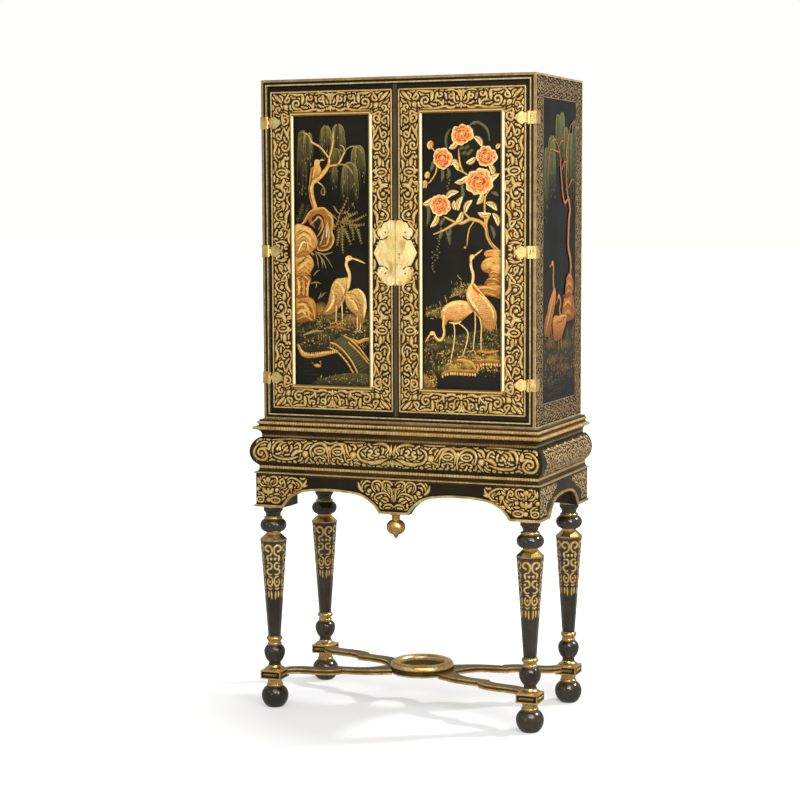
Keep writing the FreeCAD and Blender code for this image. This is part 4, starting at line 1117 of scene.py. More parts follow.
def apron_middle(work):
    """Half of the cluster in the middle of the front apron: a from the middle, b up from its lower edge."""
    leaf, curl, stroke, boss = work.leaf, work.curl, work.stroke, work.boss
    stroke([(5, 33), (5, 54), (9, 65), (20, 68)], 5)
    stroke([(3, 74), (12, 83), (25, 84), (31, 76), (29, 64), (19, 57)], 5.5)
    leaf((9, 70), (20, 78), 6)
    stroke([(33, 56), (32, 74), (42, 84), (56, 80), (60, 66), (50, 54)], 5)
    leaf((40, 58), (50, 74), 8)
    stroke([(63, 79), (75, 82), (85, 73), (89, 60)], 5)
    stroke([(67, 72), (77, 70), (80, 61)], 4.5)
    boss((68, 57), 5.5)
    leaf((84, 53), (99, 79), 8, -0.12)
    stroke([(10, 42), (19, 52), (35, 53), (50, 46), (53, 37), (43, 31)], 5)
    leaf((14, 32), (32, 40), 7, 0.2)
    leaf((56, 52), (64, 40), 6)
    stroke([(0, 17), (10, 24), (24, 22), (29, 15)], 5)
    curl((36, 24), 6, 90, -1.0, 4, [(28, 12), (38, 15)])
    leaf((0, 30), (0, 50), 6)
    boss((0, 62), 5)


def side_cluster(work):
    """Dense cluster at a corner of a side apron: a from the corner, b up from the lower edge."""
    chance = random.Random(11)
    spots = ((14, 72), (35, 70), (57, 72), (79, 72), (101, 75), (15, 49), (38, 49), (63, 55), (14, 25),
             (38, 26))
    for i, (a, b) in enumerate(spots):
        way = 1 if i % 2 else -1
        work.curl((a, b), 8.5, chance.uniform(0, 360), way * 1.2, 3.2, [(a + 9 * way, b + 7)])


def leg_facet(work):
    """Column of hooks, loops and drops on one facet: a across, b down from the shaft's top."""
    leaf, stroke, boss = work.leaf, work.stroke, work.boss
    stroke([(5, -37), (-4, -35), (-9, -25), (-7, -14), (1, -9), (8, -14), (7, -22), (2, -25)], 4.4, 0.5,
           0.9)
    boss((2, -25), 2.4)
    leaf((5, -38), (3, -53), 5.4)
    boss((-6, -45), 2.8)
    stroke([(6, -58), (-3, -56), (-8, -63), (-5, -71), (4, -74), (7, -81), (1, -88), (-7, -86)], 4.4, 0.6,
           0.6)
    boss((5, -66), 2.4)
    stroke([(4, -92), (-6, -96), (-9, -107), (-4, -118), (5, -116), (7, -105), (3, -99)], 4.2, 0.5, 0.8)
    boss((-1, -107), 2.4)
    stroke([(-8, -123), (0, -127), (7, -123)], 4)
    leaf((-4, -132), (-5, -156), 5.4)
    leaf((5, -132), (5, -151), 5)


def leg_places():
    return [(sign * LEG_X, y) for sign in (-1, 1) for y in (LEG_FRONT_Y, LEG_BACK_Y)]


def facing(k, sides):
    """Directions out of and along the k-th of that many upright faces round a piece."""
    angle = 2 * k * math.pi / sides
    out = Vector((math.cos(angle), math.sin(angle), 0))
    return out, Vector((-out.y, out.x, 0))


def leg_ornament(name, x, y, fill):
    """Raised columns on the eight facets of a leg's shaft, narrowing with it."""
    (z0, r0), (z1, r1) = SHAFT_LOW, SHAFT_HIGH
    flat = math.cos(math.pi / 8)
    work = Relief(None, bold=SHAFT_BOLD)
    for k in range(8):
        out, across = facing(k, 8)

        def facet(a, b, height):
            corner = r0 + (r1 - r0) * (z1 + b - z0) / (z1 - z0)
            return Vector((x, y, z1 + b)) + out * (corner * flat + height) + across * a
        work.surface = facet
        mirror = 1 if k % 2 else -1
        work.place = lambda a, b: (mirror * a * (1.16 + b / 420), b)
        leg_facet(work)
        work.leaves(fill)
    work.object(name, "body", "raised")


def pad_frames():
    """Thin gilt frames round the dark sides of the four pads, and a row of small leaves in each."""
    work = Relief(None)
    beside, below, line_width = 1.6, 1.8, 2.6        # frames: distances from the side's edges, and width
    spacing, lean, root, tip = 5.6, 2.4, 8.5, 14.5   # leaves
    for x, y in leg_places():
        for k in range(4):
            out, across = facing(k, 4)
            work.surface = lambda a, b, h: Vector((x, y, ARM_LOW.z + b)) + out * (PAD_HALF + h) + across * a
            work.frame(-PAD_HALF + beside, PAD_HALF - beside, below, ARM_HIGH.z - ARM_LOW.z - below,
                       line_width)
            for i in range(-3, 4):
                work.leaf((i * spacing - lean, root), (i * spacing + lean, tip), 2.6, 0.2)
    work.object("pad_frames", "body", "raised")


def box_outline(a0, a1, b0, b1):
    return [(a0, b0), (a1, b0), (a1, b1), (a0, b1)]


def ornament():
    """All raised gilding: door borders, frieze, aprons, sides, legs and pads."""
    fill = filling(border_quarter, BORDER_BOLD, box_outline(4, 48, 4, 408), box_outline(4, 166.5, 4, 48))
    for sign, side in ((1, "right"), (-1, "left")):
        door_border(sign, side, fill)
    work = Relief(front_frieze, bold=1.32)
    fill = filling(frieze_half, work.bold, box_outline(-388, -2, -26, 35))
    for sign in (1, -1):
        work.place = lambda a, b: (sign * a, b)
        frieze_half(work)
        work.leaves(fill)
    work.object("frieze_scrolls", "body", "raised")
    work = Relief(lambda x, b, h: Vector((x, APRON_LOW.y - h, APRON_LOW.z + b)), bold=1.2)
    corner = filling(apron_corner, work.bold, [(3, 12), (66, 12), (150, 64), (144, 83), (3, 83)])
    middle = filling(apron_middle, work.bold, [(1, 12), (28, 12), (98, 62), (90, 84), (1, 84)])
    for sign in (1, -1):
        work.place = lambda a, b: (sign * (APRON_HIGH.x - a), b)
        apron_corner(work)
        work.leaves(corner)
        work.place = lambda a, b: (sign * a, b)
        apron_middle(work)
        work.leaves(middle)
    work.object("apron_scrolls", "body", "raised")
    side_ornament()
    fill = filling(leg_facet, SHAFT_BOLD, [(-11, -6), (10, -6), (8, -120), (-9, -120)])
    for (x, y), name in zip(leg_places(), ("front_left", "back_left", "front_right", "back_right")):
        leg_ornament("leg_scrolls_" + name, x, y, fill)
    pad_frames()


def side_ornament():
    """Duller work of the sides: round the picture, on the frieze's end and at the apron's corners."""
    depth, length, band, margin = BACK - FRONT, CASE_TOP - CASE_BOTTOM, 46.0, 8
    half = band / 2
    inner = margin + band      # from the case's edge to the inner edge of the border
    tip = 10                   # from the side's edge to the ends of the level borders

    def upright(work):
        running_scrolls(work, inner, length - margin - band, band, cell=30.0, width=3.4, seed=3)

    def level(work):
        running_scrolls(work, tip, depth - tip, band, cell=30.0, width=3.4, seed=5)

    def frieze_ends(work):
        running_scrolls(work, FRONT + 2, BACK - 4, 62.0, cell=36.0, width=3.8, seed=7)

    upright_fill = filling(upright, 1.1, box_outline(inner, length - margin - band, -half, half))
    level_fill = filling(level, 1.1, box_outline(tip, depth - tip, -half, half))
    end_fill = filling(frieze_ends, 1.2, box_outline(FRONT + 2, BACK - 4, -31, 32))
    cluster_fill = filling(side_cluster, 1.1, [(3, 10), (56, 10), (62, 40), (62, 83), (3, 83)],
                           [(60, 40), (80, 44), (138, 72), (134, 83), (60, 83)])
    for sign, side in ((1, "right"), (-1, "left")):
        work = Relief(lambda y, z, h: Vector((sign * (SIDE_X + h), y, z)), bold=1.1)
        for y, way in ((FRONT + margin + half, 1), (BACK - margin - half, -1)):
            work.place = lambda a, b: (y + way * b, CASE_BOTTOM + a)
            upright(work)
            work.leaves(upright_fill)
        for z, way in ((CASE_BOTTOM + margin + half, 1), (CASE_TOP - margin - half, -1)):
            work.place = lambda a, b: (FRONT + a, z + way * b)
            level(work)
            work.leaves(level_fill)
        work.place = lambda a, b: (a, b)
        edge = inner + 3
        work.frame(FRONT + edge, BACK - edge, CASE_BOTTOM + edge, CASE_TOP - edge, 3.0)
        work.object(side + "_side_scrolls", "body", "dull")

        def frieze_end(y, b, height):
            out, z = frieze_point(SIDE_X, b, height)
            return Vector((sign * out, y, z))
        work = Relief(frieze_end, bold=1.2)
        frieze_ends(work)
        work.leaves(end_fill)
        work.object(side + "_frieze_scrolls", "body", "faded")
        work = Relief(lambda y, b, h: Vector((sign * (SIDE_APRON_HIGH.x + h), y, APRON_LOW.z + b)),
                      bold=1.1)
        for edge, way in ((SIDE_APRON_LOW.y + 2, 1), (SIDE_APRON_HIGH.y - 2, -1)):
            work.place = lambda a, b: (edge + way * a, b)
            side_cluster(work)
            work.leaves(cluster_fill)
        work.object(side + "_apron_scrolls", "body", "faded")


# ---- Painted pictures ----
# Colours in display values of 0 to 255
CREAM, STRAW, AMBER, OCHRE = (250, 222, 150), (238, 192, 106), (210, 154, 70), (166, 112, 44)
RUST, UMBER, NIGHT = (126, 70, 26), (66, 40, 16), (22, 22, 14)
OLIVE, OLIVE_PALE, OLIVE_DARK = (108, 98, 42), (150, 136, 72), (52, 48, 22)
MOSS, SAGE, LIME, GOLDEN, GREY = (78, 72, 30), (92, 96, 66), (140, 126, 52), (194, 154, 64), (150, 134, 92)
CORAL, CORAL_DEEP, PEACH = (206, 84, 20), (168, 46, 10), (244, 190, 106)
GILT_SHARE = {CREAM: 0.35, STRAW: 0.7, AMBER: 0.7, OCHRE: 0.6}     # how much a colour shines like leaf


def blended(first, second, share):
    return tuple(a + (b - a) * share for a, b in zip(first, second))


class Painting(Surface):
    """Picture of thin coloured touches, each a little above those that it covers."""
    GROUND, LAYER = 0.05, 0.012        # height of the lowest touches, and how far the others lie above those
    CELL = 3                           # side of the square cells in which heights are remembered
    # Share of the size, height and share of the rim's colour, from a touch's rim to its middle
    DAB = ((1.0, 0.0, 1.0), (0.62, 0.7, 0.55), (0.06, 1.0, 0.0))
    PETAL = ((1.0, 0.0, 0.9), (0.90, 0.4, 0.55), (0.66, 0.8, 0.08), (0.06, 1.0, 0.0))
    OUTER = ((1.0, 0.0, 1.0), (0.78, 0.5, 0.76), (0.48, 0.85, 0.15), (0.06, 1.0, 0.0))
    # Rings of a peony's petals: how many, how far out, how large, and the colour of their lips
    RINGS = ((9, 0.72, 0.33, CREAM), (7, 0.52, 0.29, PEACH), (5, 0.31, 0.25, CREAM), (3, 0.12, 0.18, PEACH))
    TOES = ((-11, -5), (9, -6), (3, 6))

    def __init__(self, surface, seed):
        super().__init__(surface)
        self.tops, self.chance = {}, random.Random(seed)

    def store(self, mesh):
        flat = [value for colour, share in self.values for value in (*rgb(*colour), share)]
        mesh.attributes.new("paint", "FLOAT_COLOR", "POINT").data.foreach_set("color", flat)

    def gilt(self, colour):
        return GILT_SHARE.get(colour, 0.1)

    def rest(self, points, reach, dome):
        """Height for a touch along these points that reaches that far to their sides."""
        ring = range(-math.ceil(reach / self.CELL), math.ceil(reach / self.CELL) + 1)
        cells = {(round(p[0] / self.CELL) + i, round(p[1] / self.CELL) + j)
                 for p in points for i in ring for j in ring}
        level = max(self.tops.get(cell, self.GROUND) for cell in cells) + self.LAYER
        self.tops.update((cell, level + dome) for cell in cells)
        return level

    def brush(self, points, width, colour, left=None, right=None, first=0.4, last=0.15, middle=1.0,
              end=None, dome=0.0, step=3.0):
        """Tapering stroke. left and right colour its edges, end is the colour it fades to."""
        line = smooth(points, step)
        level = self.rest(line, width / 2, dome)
        tints = (left or colour, colour, right or colour)
        rows, values = [], []
        for i, point, side in flanked(line, swelling(len(line), first, middle, last)):
            side = side * width / 2
            rows.append([(point.x + side.x, point.y + side.y, level), (point.x, point.y, level + dome),
                         (point.x - side.x, point.y - side.y, level)])
            share = i / (len(line) - 1)
            values.append([(blended(tint, end, share) if end else tint, self.gilt(tint)) for tint in tints])
        if len(rows) > 1:
            self.add(rows, values)

    def fill(self, outline, low, high=None):
        """Closed smooth shape, coloured from low at its lowest point to high at its highest."""
        line = smooth(list(outline) + [outline[0]], 4.0)[:-1]
        left, right = min(p.x for p in line), max(p.x for p in line)
        bottom, top = min(p.y for p in line), max(p.y for p in line)
        cover = [(x, y) for x in range(int(left), int(right) + self.CELL, self.CELL)
                 for y in range(int(bottom), int(top) + self.CELL, self.CELL)]
        level = self.rest(cover, 0.0, 0.0)
        first = len(self.points)
        for point in line:
            share = (point.y - bottom) / (top - bottom)
            self.points.append(self.surface(*self.place(point.x, point.y), level))
            self.values.append((blended(low, high or low, share), self.gilt(low)))
        out = self.surface(left, bottom, 1.0) - self.surface(left, bottom, 0.0)
        for triangle in tessellate_polygon([[Vector((p.x, p.y, 0)) for p in line]]):
            face = tuple(first + i for i in triangle)
            p = [self.points[i] for i in face]
            across = (p[1] - p[0]).cross(p[2] - p[0])
            if across.length > 1e-7:
                self.faces.append(face[::-1] if across.dot(out) < 0 else face)

    def dab(self, centre, a, b, turn, middle, rim, count=12, dome=0.0, lobes=0.0, shift=0.0, stops=DAB):
        """Oval touch: middle in its centre, rim round it. lobes waves its rim, shift moves its centre."""
        level = self.rest([centre], max(a, b) * 0.8, dome)
        rows, values = [], []
        for share, height, mix in stops:
            row = []
            for k in range(count):
                t = 2 * math.pi * k / count
                reach = share * (1 + lobes * math.cos(5 * t + turn))
                u, v = a * (reach * math.cos(t) + shift * (1 - share)), b * reach * math.sin(t)
                row.append((*turned(centre, u, v, math.radians(turn)), level + height * dome))
            rows.append(row)
            values.append([(blended(middle, rim, mix), self.gilt(rim))] * count)
        self.add(rows, values, closed=True)

    # Things that come back in the pictures
    def leaf(self, root, tip, width=13.0, light=CREAM, dark=OCHRE, bend=0.15):
        root, tip = Vector(root), Vector(tip)
        middle = root.lerp(tip, 0.5) + aside(tip - root) * bend
        self.brush([root, middle, tip], width, light, dark, light, 0.15, 0.02, dome=0.15)
        self.brush([root, middle, root.lerp(tip, 0.85)], width * 0.16, RUST)

    def peony(self, centre, a, b, turn):
        """Full-blown peony: ragged petals, deep coral at their roots and pale only at their lips."""
        uniform = self.chance.uniform
        a, b = a * 0.88, b * 0.88
        self.dab(centre, a * 0.75, b * 0.75, turn, CORAL_DEEP, CORAL_DEEP)
        for ring, (count, reach, size, lip) in enumerate(self.RINGS):
            for k in range(count):
                angle = 2 * math.pi * (k + 0.37 * ring) / count + uniform(-0.2, 0.2)
                far, big = reach * uniform(0.88, 1.1), size * uniform(0.85, 1.15)
                x, y = turned(centre, a * far * math.cos(angle), b * far * math.sin(angle),
                              math.radians(turn))
                outwards = math.degrees(math.atan2(y - centre[1], x - centre[0]))
                heart = CORAL if (k + ring) % 3 else CORAL_DEEP
                self.dab((x, y), big * a, big * (a + b) * 0.6, outwards, heart, lip, 14, 0.03, 0.07, -0.6,
                         self.PETAL if ring else self.OUTER)
        for k in range(4):
            angle = k * 2.2 + turn
            x, y = centre[0] + a * 0.10 * math.cos(angle), centre[1] + b * 0.10 * math.sin(angle)
            self.brush([(x - 4, y - 1), (x, y + 2.2), (x + 4, y - 0.5)], 1.6, CREAM)

    def curtain(self, left, right, top, low, sag, pale=OLIVE_PALE, deep=OLIVE_DARK):
        """Willow: many fine twigs that spring from one point, bow outwards and fall."""
        uniform = self.chance.uniform
        middle, half, fall, gap = (left + right) / 2, (right - left) / 2, top - low, 1.9
        self.fill([(middle, top - 6), (right - half * 0.2, top - sag - 6),
                   (right - 1, top - sag - fall * 0.3), (middle + half * 0.5, low + fall * 0.34),
                   (middle, low + fall * 0.44),
                   (middle - half * 0.5, low + fall * 0.3), (left + 1, top - sag - fall * 0.3),
                   (left + half * 0.2, top - sag - 6)], NIGHT, blended(deep, NIGHT, 0.75))
        for i in range(int((right - left) / gap) + 1):
            x = left + gap * i
            away = (x - middle) / half
            reach = fall * uniform(0.55, 1.0) * (1 - 0.25 * abs(away))
            light = uniform(0.0, 0.8) + 0.35 * abs(away)
            drop = sag * (0.3 + 0.7 * abs(away))
            twig = [(middle + away * half * 0.35, top - uniform(0, 3)),
                    (middle + away * half * 0.82, top - drop * 0.5), (x, top - drop - reach * 0.22),
                    (x + away * 2, top - drop - reach * 0.6), (x + uniform(-2.5, 2.5), top - drop - reach)]
            self.brush(twig, uniform(1.0, 1.9), blended(deep, pale, light * 1.15),
                       end=blended(deep, pale, 0.1), first=0.8, last=0.25, step=8.0)
        for _ in range(int(half * fall / 150)):
            x = uniform(left, right)
            y = top - sag - uniform(0.0, 0.8) * fall
            self.brush([(x, y), (x + uniform(-2, 2), y - 7)], 1.7, pale, first=0.3, step=4.0)

    def fern(self, points, length, colour, tip, gap=6.0, width=1.8):
        """Stem with paired narrow leaves that shorten to its end."""
        self.brush(points, width * 1.1, colour, end=tip)
        line = smooth(points, gap)
        for i, point in enumerate(line[1:], 1):
            along = (line[min(i + 1, len(line) - 1)] - line[i - 1]).normalized()
            long = length * (1 - 0.6 * i / len(line))
            for way in (-1, 1):
                reach = point + (along + aside(along) * way) * long * 0.75
                self.brush([point, point.lerp(reach, 0.5) + along * 0.06 * long, reach], width,
                           blended(colour, tip, self.chance.random()), step=6.0)

    def scallops(self, points, gap=6.5):
        """Edge of a bank: a row of small pale teeth along a line."""
        for point in smooth(points, gap):
            self.dab(point, 2.6, 4.4, 0, CREAM, AMBER, 10, 0.1)

    def tufts(self, count, left, right, low, high, colours, size=7.0):
        """Grass and moss: short upright strokes and dots strewn over a field."""
        uniform = self.chance.uniform
        for _ in range(count):
            x, y = uniform(left, right), uniform(low, high)
            colour = self.chance.choice(colours)
            if self.chance.random() < 0.45:
                dot = uniform(0.8, 2.0)
                self.dab((x, y), dot * 1.5, dot, 0, colour, colour, 7)
            else:
                lean, tall = uniform(-3, 3), size * uniform(0.6, 1.3)
                self.brush([(x, y), (x + lean * 0.4, y + tall * 0.6), (x + lean, y + tall)], 1.7, colour,
                           step=5.0)

    def feathers(self, centre, a, b, turn, colour=(136, 88, 38), rows=5):
        """Rows of small scallops over a body."""
        for row in range(rows):
            v = -b + 2 * b * (row + 0.5) / rows
            wide = a * math.sqrt(max(0.0, 1 - (v / b) ** 2))
            count = max(1, int(wide / 5.0))
            for k in range(count):
                u = -wide + 2 * wide * (k + 0.5) / count + (row % 2) * 2
                x, y = turned(centre, u, v, math.radians(turn))
                self.brush([(x - 2.8, y + 1.4), (x, y - 1.2), (x + 2.8, y + 1.0)], 1.0, colour, step=4.0)
                self.brush([(x - 2.4, y + 2.8), (x, y + 0.4), (x + 2.4, y + 2.4)], 1.0, CREAM, step=4.0)

    def rim(self, outline, width, colour):
        self.brush(list(outline) + [outline[0]], width, colour, first=0.8, last=0.8)

    def body(self, outline, low, high):
        """Bird's body, shaded and with a thin dark outline."""
        self.fill(outline, low, high)
        self.rim(outline, 1.4, (112, 68, 26))

    def legs(self, *legs):
        for points in legs:
            self.brush(points, 3.2, CREAM, OCHRE, STRAW, 0.9, 0.6)
            x, y = points[-1]
            for over, up in self.TOES:
                self.brush([(x, y), (x + over * 0.5, y + up * 0.7), (x + over, y + up)], 1.8, STRAW)

    def boulder(self, outline, low=RUST, high=AMBER, bands=4):
        """Rock with pale ridges across it and a dark outline."""
        self.fill(outline, low, high)
        x0, x1 = min(p[0] for p in outline), max(p[0] for p in outline)
        y0, y1 = min(p[1] for p in outline), max(p[1] for p in outline)
        wide, tall = x1 - x0, y1 - y0
        for k in range(bands):
            top = y0 + tall * (k + 0.6) / bands
            points = [(x0 + wide * 0.06, top - tall * 0.10), (x0 + wide * 0.45, top + tall * 0.04),
                      (x0 + wide * 0.86, top - tall * 0.16)]
            self.brush(points, tall / bands * 0.42, STRAW if k % 2 else AMBER, AMBER, OCHRE, 0.3, 0.1,
                       dome=0.1)
            self.brush([(x, y - tall / bands * 0.26) for x, y in points], 1.8, RUST)
        self.rim(outline, 1.6, RUST)


def left_picture(paint):
    """Willow, pierced rock, two cranes on a bank, and a bridge: a and b from the panel's lower left."""
    brush, dab, fill, tufts, fern = paint.brush, paint.dab, paint.fill, paint.tufts, paint.fern
    chance = paint.chance
    # Water, ground and moss
    fill([(0, 0), (208, 0), (208, 120), (160, 118), (100, 90), (60, 74), (0, 92)], (20, 20, 15),
         (26, 24, 14))
    fill([(0, 96), (60, 82), (110, 96), (150, 118), (208, 118), (208, 190), (150, 186), (95, 190),
          (60, 168), (0, 172)], (40, 38, 20), (70, 60, 28))
    for x, y, a, b, colour in (
            (30, 118, 34, 16, OLIVE_DARK), (80, 128, 40, 14, MOSS), (55, 150, 44, 14, OLIVE_DARK),
            (120, 150, 40, 16, (96, 78, 36)), (100, 178, 40, 14, (110, 88, 36)), (155, 172, 32, 14, OCHRE),
            (185, 150, 26, 14, (96, 80, 36)), (70, 195, 26, 20, OCHRE)):
        dab((x, y), a, b, 0, colour, blended(colour, NIGHT, 0.75), 18, 0.0, 0.04)
    tufts(300, 4, 204, 96, 176, [OLIVE, MOSS, LIME, OCHRE, SAGE, GOLDEN])
    tufts(110, 60, 204, 150, 200, [OCHRE, GOLDEN, OLIVE, LIME])
    brush([(20, 128), (50, 138), (80, 140)], 6, OLIVE_PALE)
    brush([(85, 148), (115, 152), (150, 143)], 5, OCHRE)
    # Willow: its curtains, then trunk and branches
    for left, right, top, low, sag in (
            (10, 36, 656, 476, 16), (26, 52, 650, 540, 12), (72, 106, 668, 590, 26),
            (104, 142, 670, 580, 26), (98, 130, 610, 548, 14), (158, 198, 616, 506, 24),
            (132, 178, 572, 460, 24), (104, 120, 562, 504, 8)):
        paint.curtain(left, right, top, low, sag)
    fern([(4, 415), (14, 440), (22, 466)], 14, OLIVE_DARK, OLIVE)
    fern([(24, 418), (30, 440), (36, 460)], 12, OLIVE_DARK, OLIVE)
    brush([(60, 448), (50, 478), (46, 503), (49, 520), (60, 529), (75, 540), (90, 556), (97, 568)], 14,
          STRAW, OCHRE, AMBER, 1.0, 0.6, dome=0.12)
    brush([(56, 450), (47, 478), (42, 503), (45, 518)], 3, RUST)
    brush([(96, 562), (98, 580), (84, 600), (72, 612), (58, 620), (50, 624), (46, 632), (40, 642),
           (30, 648), (22, 650)], 5, STRAW, OCHRE, first=1.2)
    brush([(96, 570), (97, 582), (103, 600), (108, 620), (109, 640), (110, 656)], 5, STRAW, OCHRE,
          first=1.2)
    brush([(90, 558), (100, 564), (120, 567), (128, 575), (137, 592), (141, 600), (137, 612), (128, 617)],
          5, STRAW, OCHRE, first=1.2)
    brush([(140, 598), (150, 608), (165, 613), (180, 608), (192, 595)], 3.5, GREY, OLIVE)
    brush([(118, 567), (140, 566), (155, 556), (166, 540)], 4.5, OLIVE_PALE, OCHRE)
    brush([(142, 568), (155, 572), (169, 566)], 2.6, GREY)
    brush([(70, 522), (80, 512), (85, 500), (83, 490), (76, 492), (76, 502), (80, 508)], 3.2, GREY, OCHRE)
    brush([(60, 526), (70, 520), (80, 512)], 3, STRAW)
    # Bird
    paint.body([(57, 578), (65, 581), (72, 576), (71, 567), (75, 557), (74, 546), (66, 536), (57, 532),
                (50, 528), (45, 514), (41, 516), (46, 536), (49, 552), (55, 564)], (132, 82, 30),
               (236, 188, 104))
    brush([(52, 562), (49, 550), (47, 536), (43, 518)], 8, OCHRE, UMBER, AMBER)
    brush([(56, 556), (54, 544), (50, 532)], 3, STRAW)
    brush([(69, 564), (71, 554), (67, 543)], 6, AMBER, (240, 170, 80), STRAW)
    brush([(70, 577), (78, 579), (85, 578)], 3.4, STRAW)
    dab((66, 575), 1.4, 1.4, 0, UMBER, UMBER, 6, 0.1)
    brush([(60, 534), (60, 528)], 1.6, STRAW, first=1, last=1)
    # Pierced rock
    arch = [(-2, 410), (20, 415), (35, 435), (45, 447), (60, 453), (80, 455), (92, 446), (103, 436),
            (105, 412), (102, 395), (108, 378), (100, 358), (85, 349), (65, 350), (62, 362)]
    fill([(40, 442), (60, 452), (80, 455), (92, 446), (103, 436), (105, 412), (102, 395), (108, 378),
          (100, 358), (85, 349), (66, 350), (66, 372), (60, 400), (40, 418)], (104, 62, 24), (150, 98, 40))
    fill([(48, 428), (62, 441), (78, 436), (84, 410), (80, 380), (72, 366), (64, 384), (56, 408)], NIGHT,
         (40, 32, 18))
    brush(arch, 7, AMBER, STRAW, OCHRE, 0.5, 0.4, dome=0.12)
    for points, width, colour in (
            ([(28, 418), (44, 438), (64, 446), (84, 442), (94, 424), (96, 400)], 4, OCHRE),
            ([(44, 414), (58, 426), (66, 434), (76, 426), (78, 408), (70, 392), (62, 382)], 5, AMBER),
            ([(66, 400), (72, 412), (76, 424)], 3, OCHRE),
            ([(70, 376), (82, 392), (86, 412), (84, 430)], 4, OCHRE),
            ([(90, 366), (96, 384), (94, 404), (90, 424)], 6, (176, 160, 104)),
            ([(88, 380), (90, 396), (88, 412)], 4, (206, 198, 140)),
            ([(74, 358), (88, 362), (98, 374)], 3.4, AMBER),
            ([(70, 362), (78, 380), (82, 400)], 2.6, STRAW),
            ([(104, 430), (99, 436), (90, 440)], 3, STRAW)):
        brush(points, width, colour, dome=0.12)
    # Stacked rocks
    for outline, low, high in (
            ([(0, 165), (40, 166), (56, 170), (59, 196), (52, 218), (34, 228), (0, 228)], RUST, AMBER),
            ([(0, 228), (34, 228), (37, 250), (44, 270), (40, 280), (20, 286), (0, 286)], (140, 78, 28),
             OCHRE),
            ([(0, 284), (34, 284), (46, 296), (53, 312), (46, 330), (30, 340), (0, 338)], OCHRE, STRAW),
            ([(0, 336), (34, 336), (48, 344), (62, 358), (64, 376), (50, 400), (30, 411), (0, 410)], OCHRE,
             STRAW)):
        paint.boulder(outline, low, high)
    for points, width, colour in (
            ([(2, 398), (24, 404), (44, 394), (56, 376)], 7, STRAW),
            ([(4, 374), (24, 388), (42, 378), (46, 360)], 7, STRAW),
            ([(10, 346), (22, 368), (34, 366), (38, 350)], 5, CREAM),
            ([(6, 386), (26, 396), (46, 386)], 2.4, RUST),
            ([(28, 348), (34, 364), (24, 374), (8, 362)], 2.2, RUST),
            ([(6, 296), (24, 312), (40, 322)], 8, STRAW), ([(20, 288), (34, 300), (48, 312)], 5, AMBER),
            ([(4, 306), (20, 320), (34, 332)], 3, RUST), ([(8, 232), (10, 256), (6, 276)], 7, STRAW),
            ([(22, 230), (24, 254), (20, 276)], 6, AMBER), ([(33, 230), (35, 254), (40, 272)], 5, STRAW),
            ([(16, 230), (17, 254), (14, 278)], 2.4, RUST), ([(28, 230), (29, 254), (28, 276)], 2.4, RUST),
            ([(4, 218), (28, 222), (44, 210), (52, 188), (54, 170)], 6, AMBER),
            ([(4, 206), (22, 208), (34, 194), (38, 174)], 6, STRAW),
            ([(6, 184), (18, 192), (28, 180)], 8, STRAW),
            ([(4, 212), (26, 214), (40, 202), (46, 180)], 2.2, RUST)):
        brush(points, width, colour, dome=0.12)
    # Ferns and twigs
    fern([(100, 396), (112, 408), (122, 420), (126, 440), (136, 456), (148, 480)], 9, OCHRE, OLIVE_PALE, 9)
    brush([(110, 462), (116, 452), (124, 442)], 3.4, OLIVE_PALE)
    for points in (
            [(125, 418), (146, 424), (168, 424), (198, 438)],
            [(128, 418), (150, 416), (172, 412), (192, 414)], [(128, 420), (150, 434), (174, 444)],
            [(127, 416), (134, 400), (133, 372), (135, 344)],
            [(128, 416), (142, 398), (150, 382), (156, 366)], [(150, 416), (162, 402), (165, 378)],
            [(160, 418), (176, 402), (186, 368)], [(124, 412), (124, 390), (120, 364)],
            [(120, 424), (114, 432), (110, 434)], [(130, 440), (146, 446), (154, 436)]):
        fern(points, 10, blended(OCHRE, OLIVE, chance.random()), OLIVE_PALE, 7, 2.0)
    for points in (
            [(56, 345), (78, 338), (94, 322), (106, 303)], [(60, 343), (74, 328), (79, 302)],
            [(66, 340), (82, 318), (88, 300)], [(58, 342), (64, 322), (66, 302)],
            [(60, 344), (84, 338), (108, 344)], [(52, 282), (60, 292), (70, 298)],
            [(44, 262), (58, 266), (74, 262)], [(58, 264), (60, 256), (56, 250)],
            [(64, 222), (70, 232), (72, 240)], [(70, 226), (80, 236), (86, 240)],
            [(62, 154), (64, 164), (58, 172)]):
        brush(points, 3.4, OLIVE_PALE, OLIVE, OLIVE)
    # Crane
    paint.body([(152, 272), (147, 279), (130, 277), (117, 275), (105, 262), (98, 240), (92, 215), (79, 190),
                (82, 182), (102, 184), (118, 196), (132, 210), (142, 228), (150, 248), (155, 262)],
               (146, 100, 42), (208, 172, 90))
    brush([(152, 326), (147, 322), (144, 312), (149, 298), (153, 285), (152, 268), (148, 252)], 10, CREAM,
          AMBER, STRAW, 0.7, 0.8, 0.85, dome=0.12)
    dab((151, 328), 10, 7, 10, CREAM, STRAW, 16, 0.1)
    brush([(157, 329), (176, 324), (198, 315)], 5, STRAW, OCHRE, CREAM, 0.9, 0.1, dome=0.12)
    dab((153, 330), 1.2, 1.2, 0, UMBER, UMBER, 6, 0.1)
    brush([(112, 268), (124, 262), (134, 248), (138, 228)], 8, CREAM, STRAW, AMBER)
    brush([(146, 262), (142, 244), (130, 222), (112, 202)], 4, OCHRE)
    brush([(104, 246), (108, 224), (98, 202), (84, 188)], 7, CREAM, STRAW, AMBER)
    brush([(112, 240), (116, 222), (108, 206)], 3, RUST)
    paint.feathers((120, 238), 34, 16, 62, rows=7)
    paint.legs([(116, 206), (115, 186), (114, 164)], [(131, 216), (132, 190), (132, 164)])
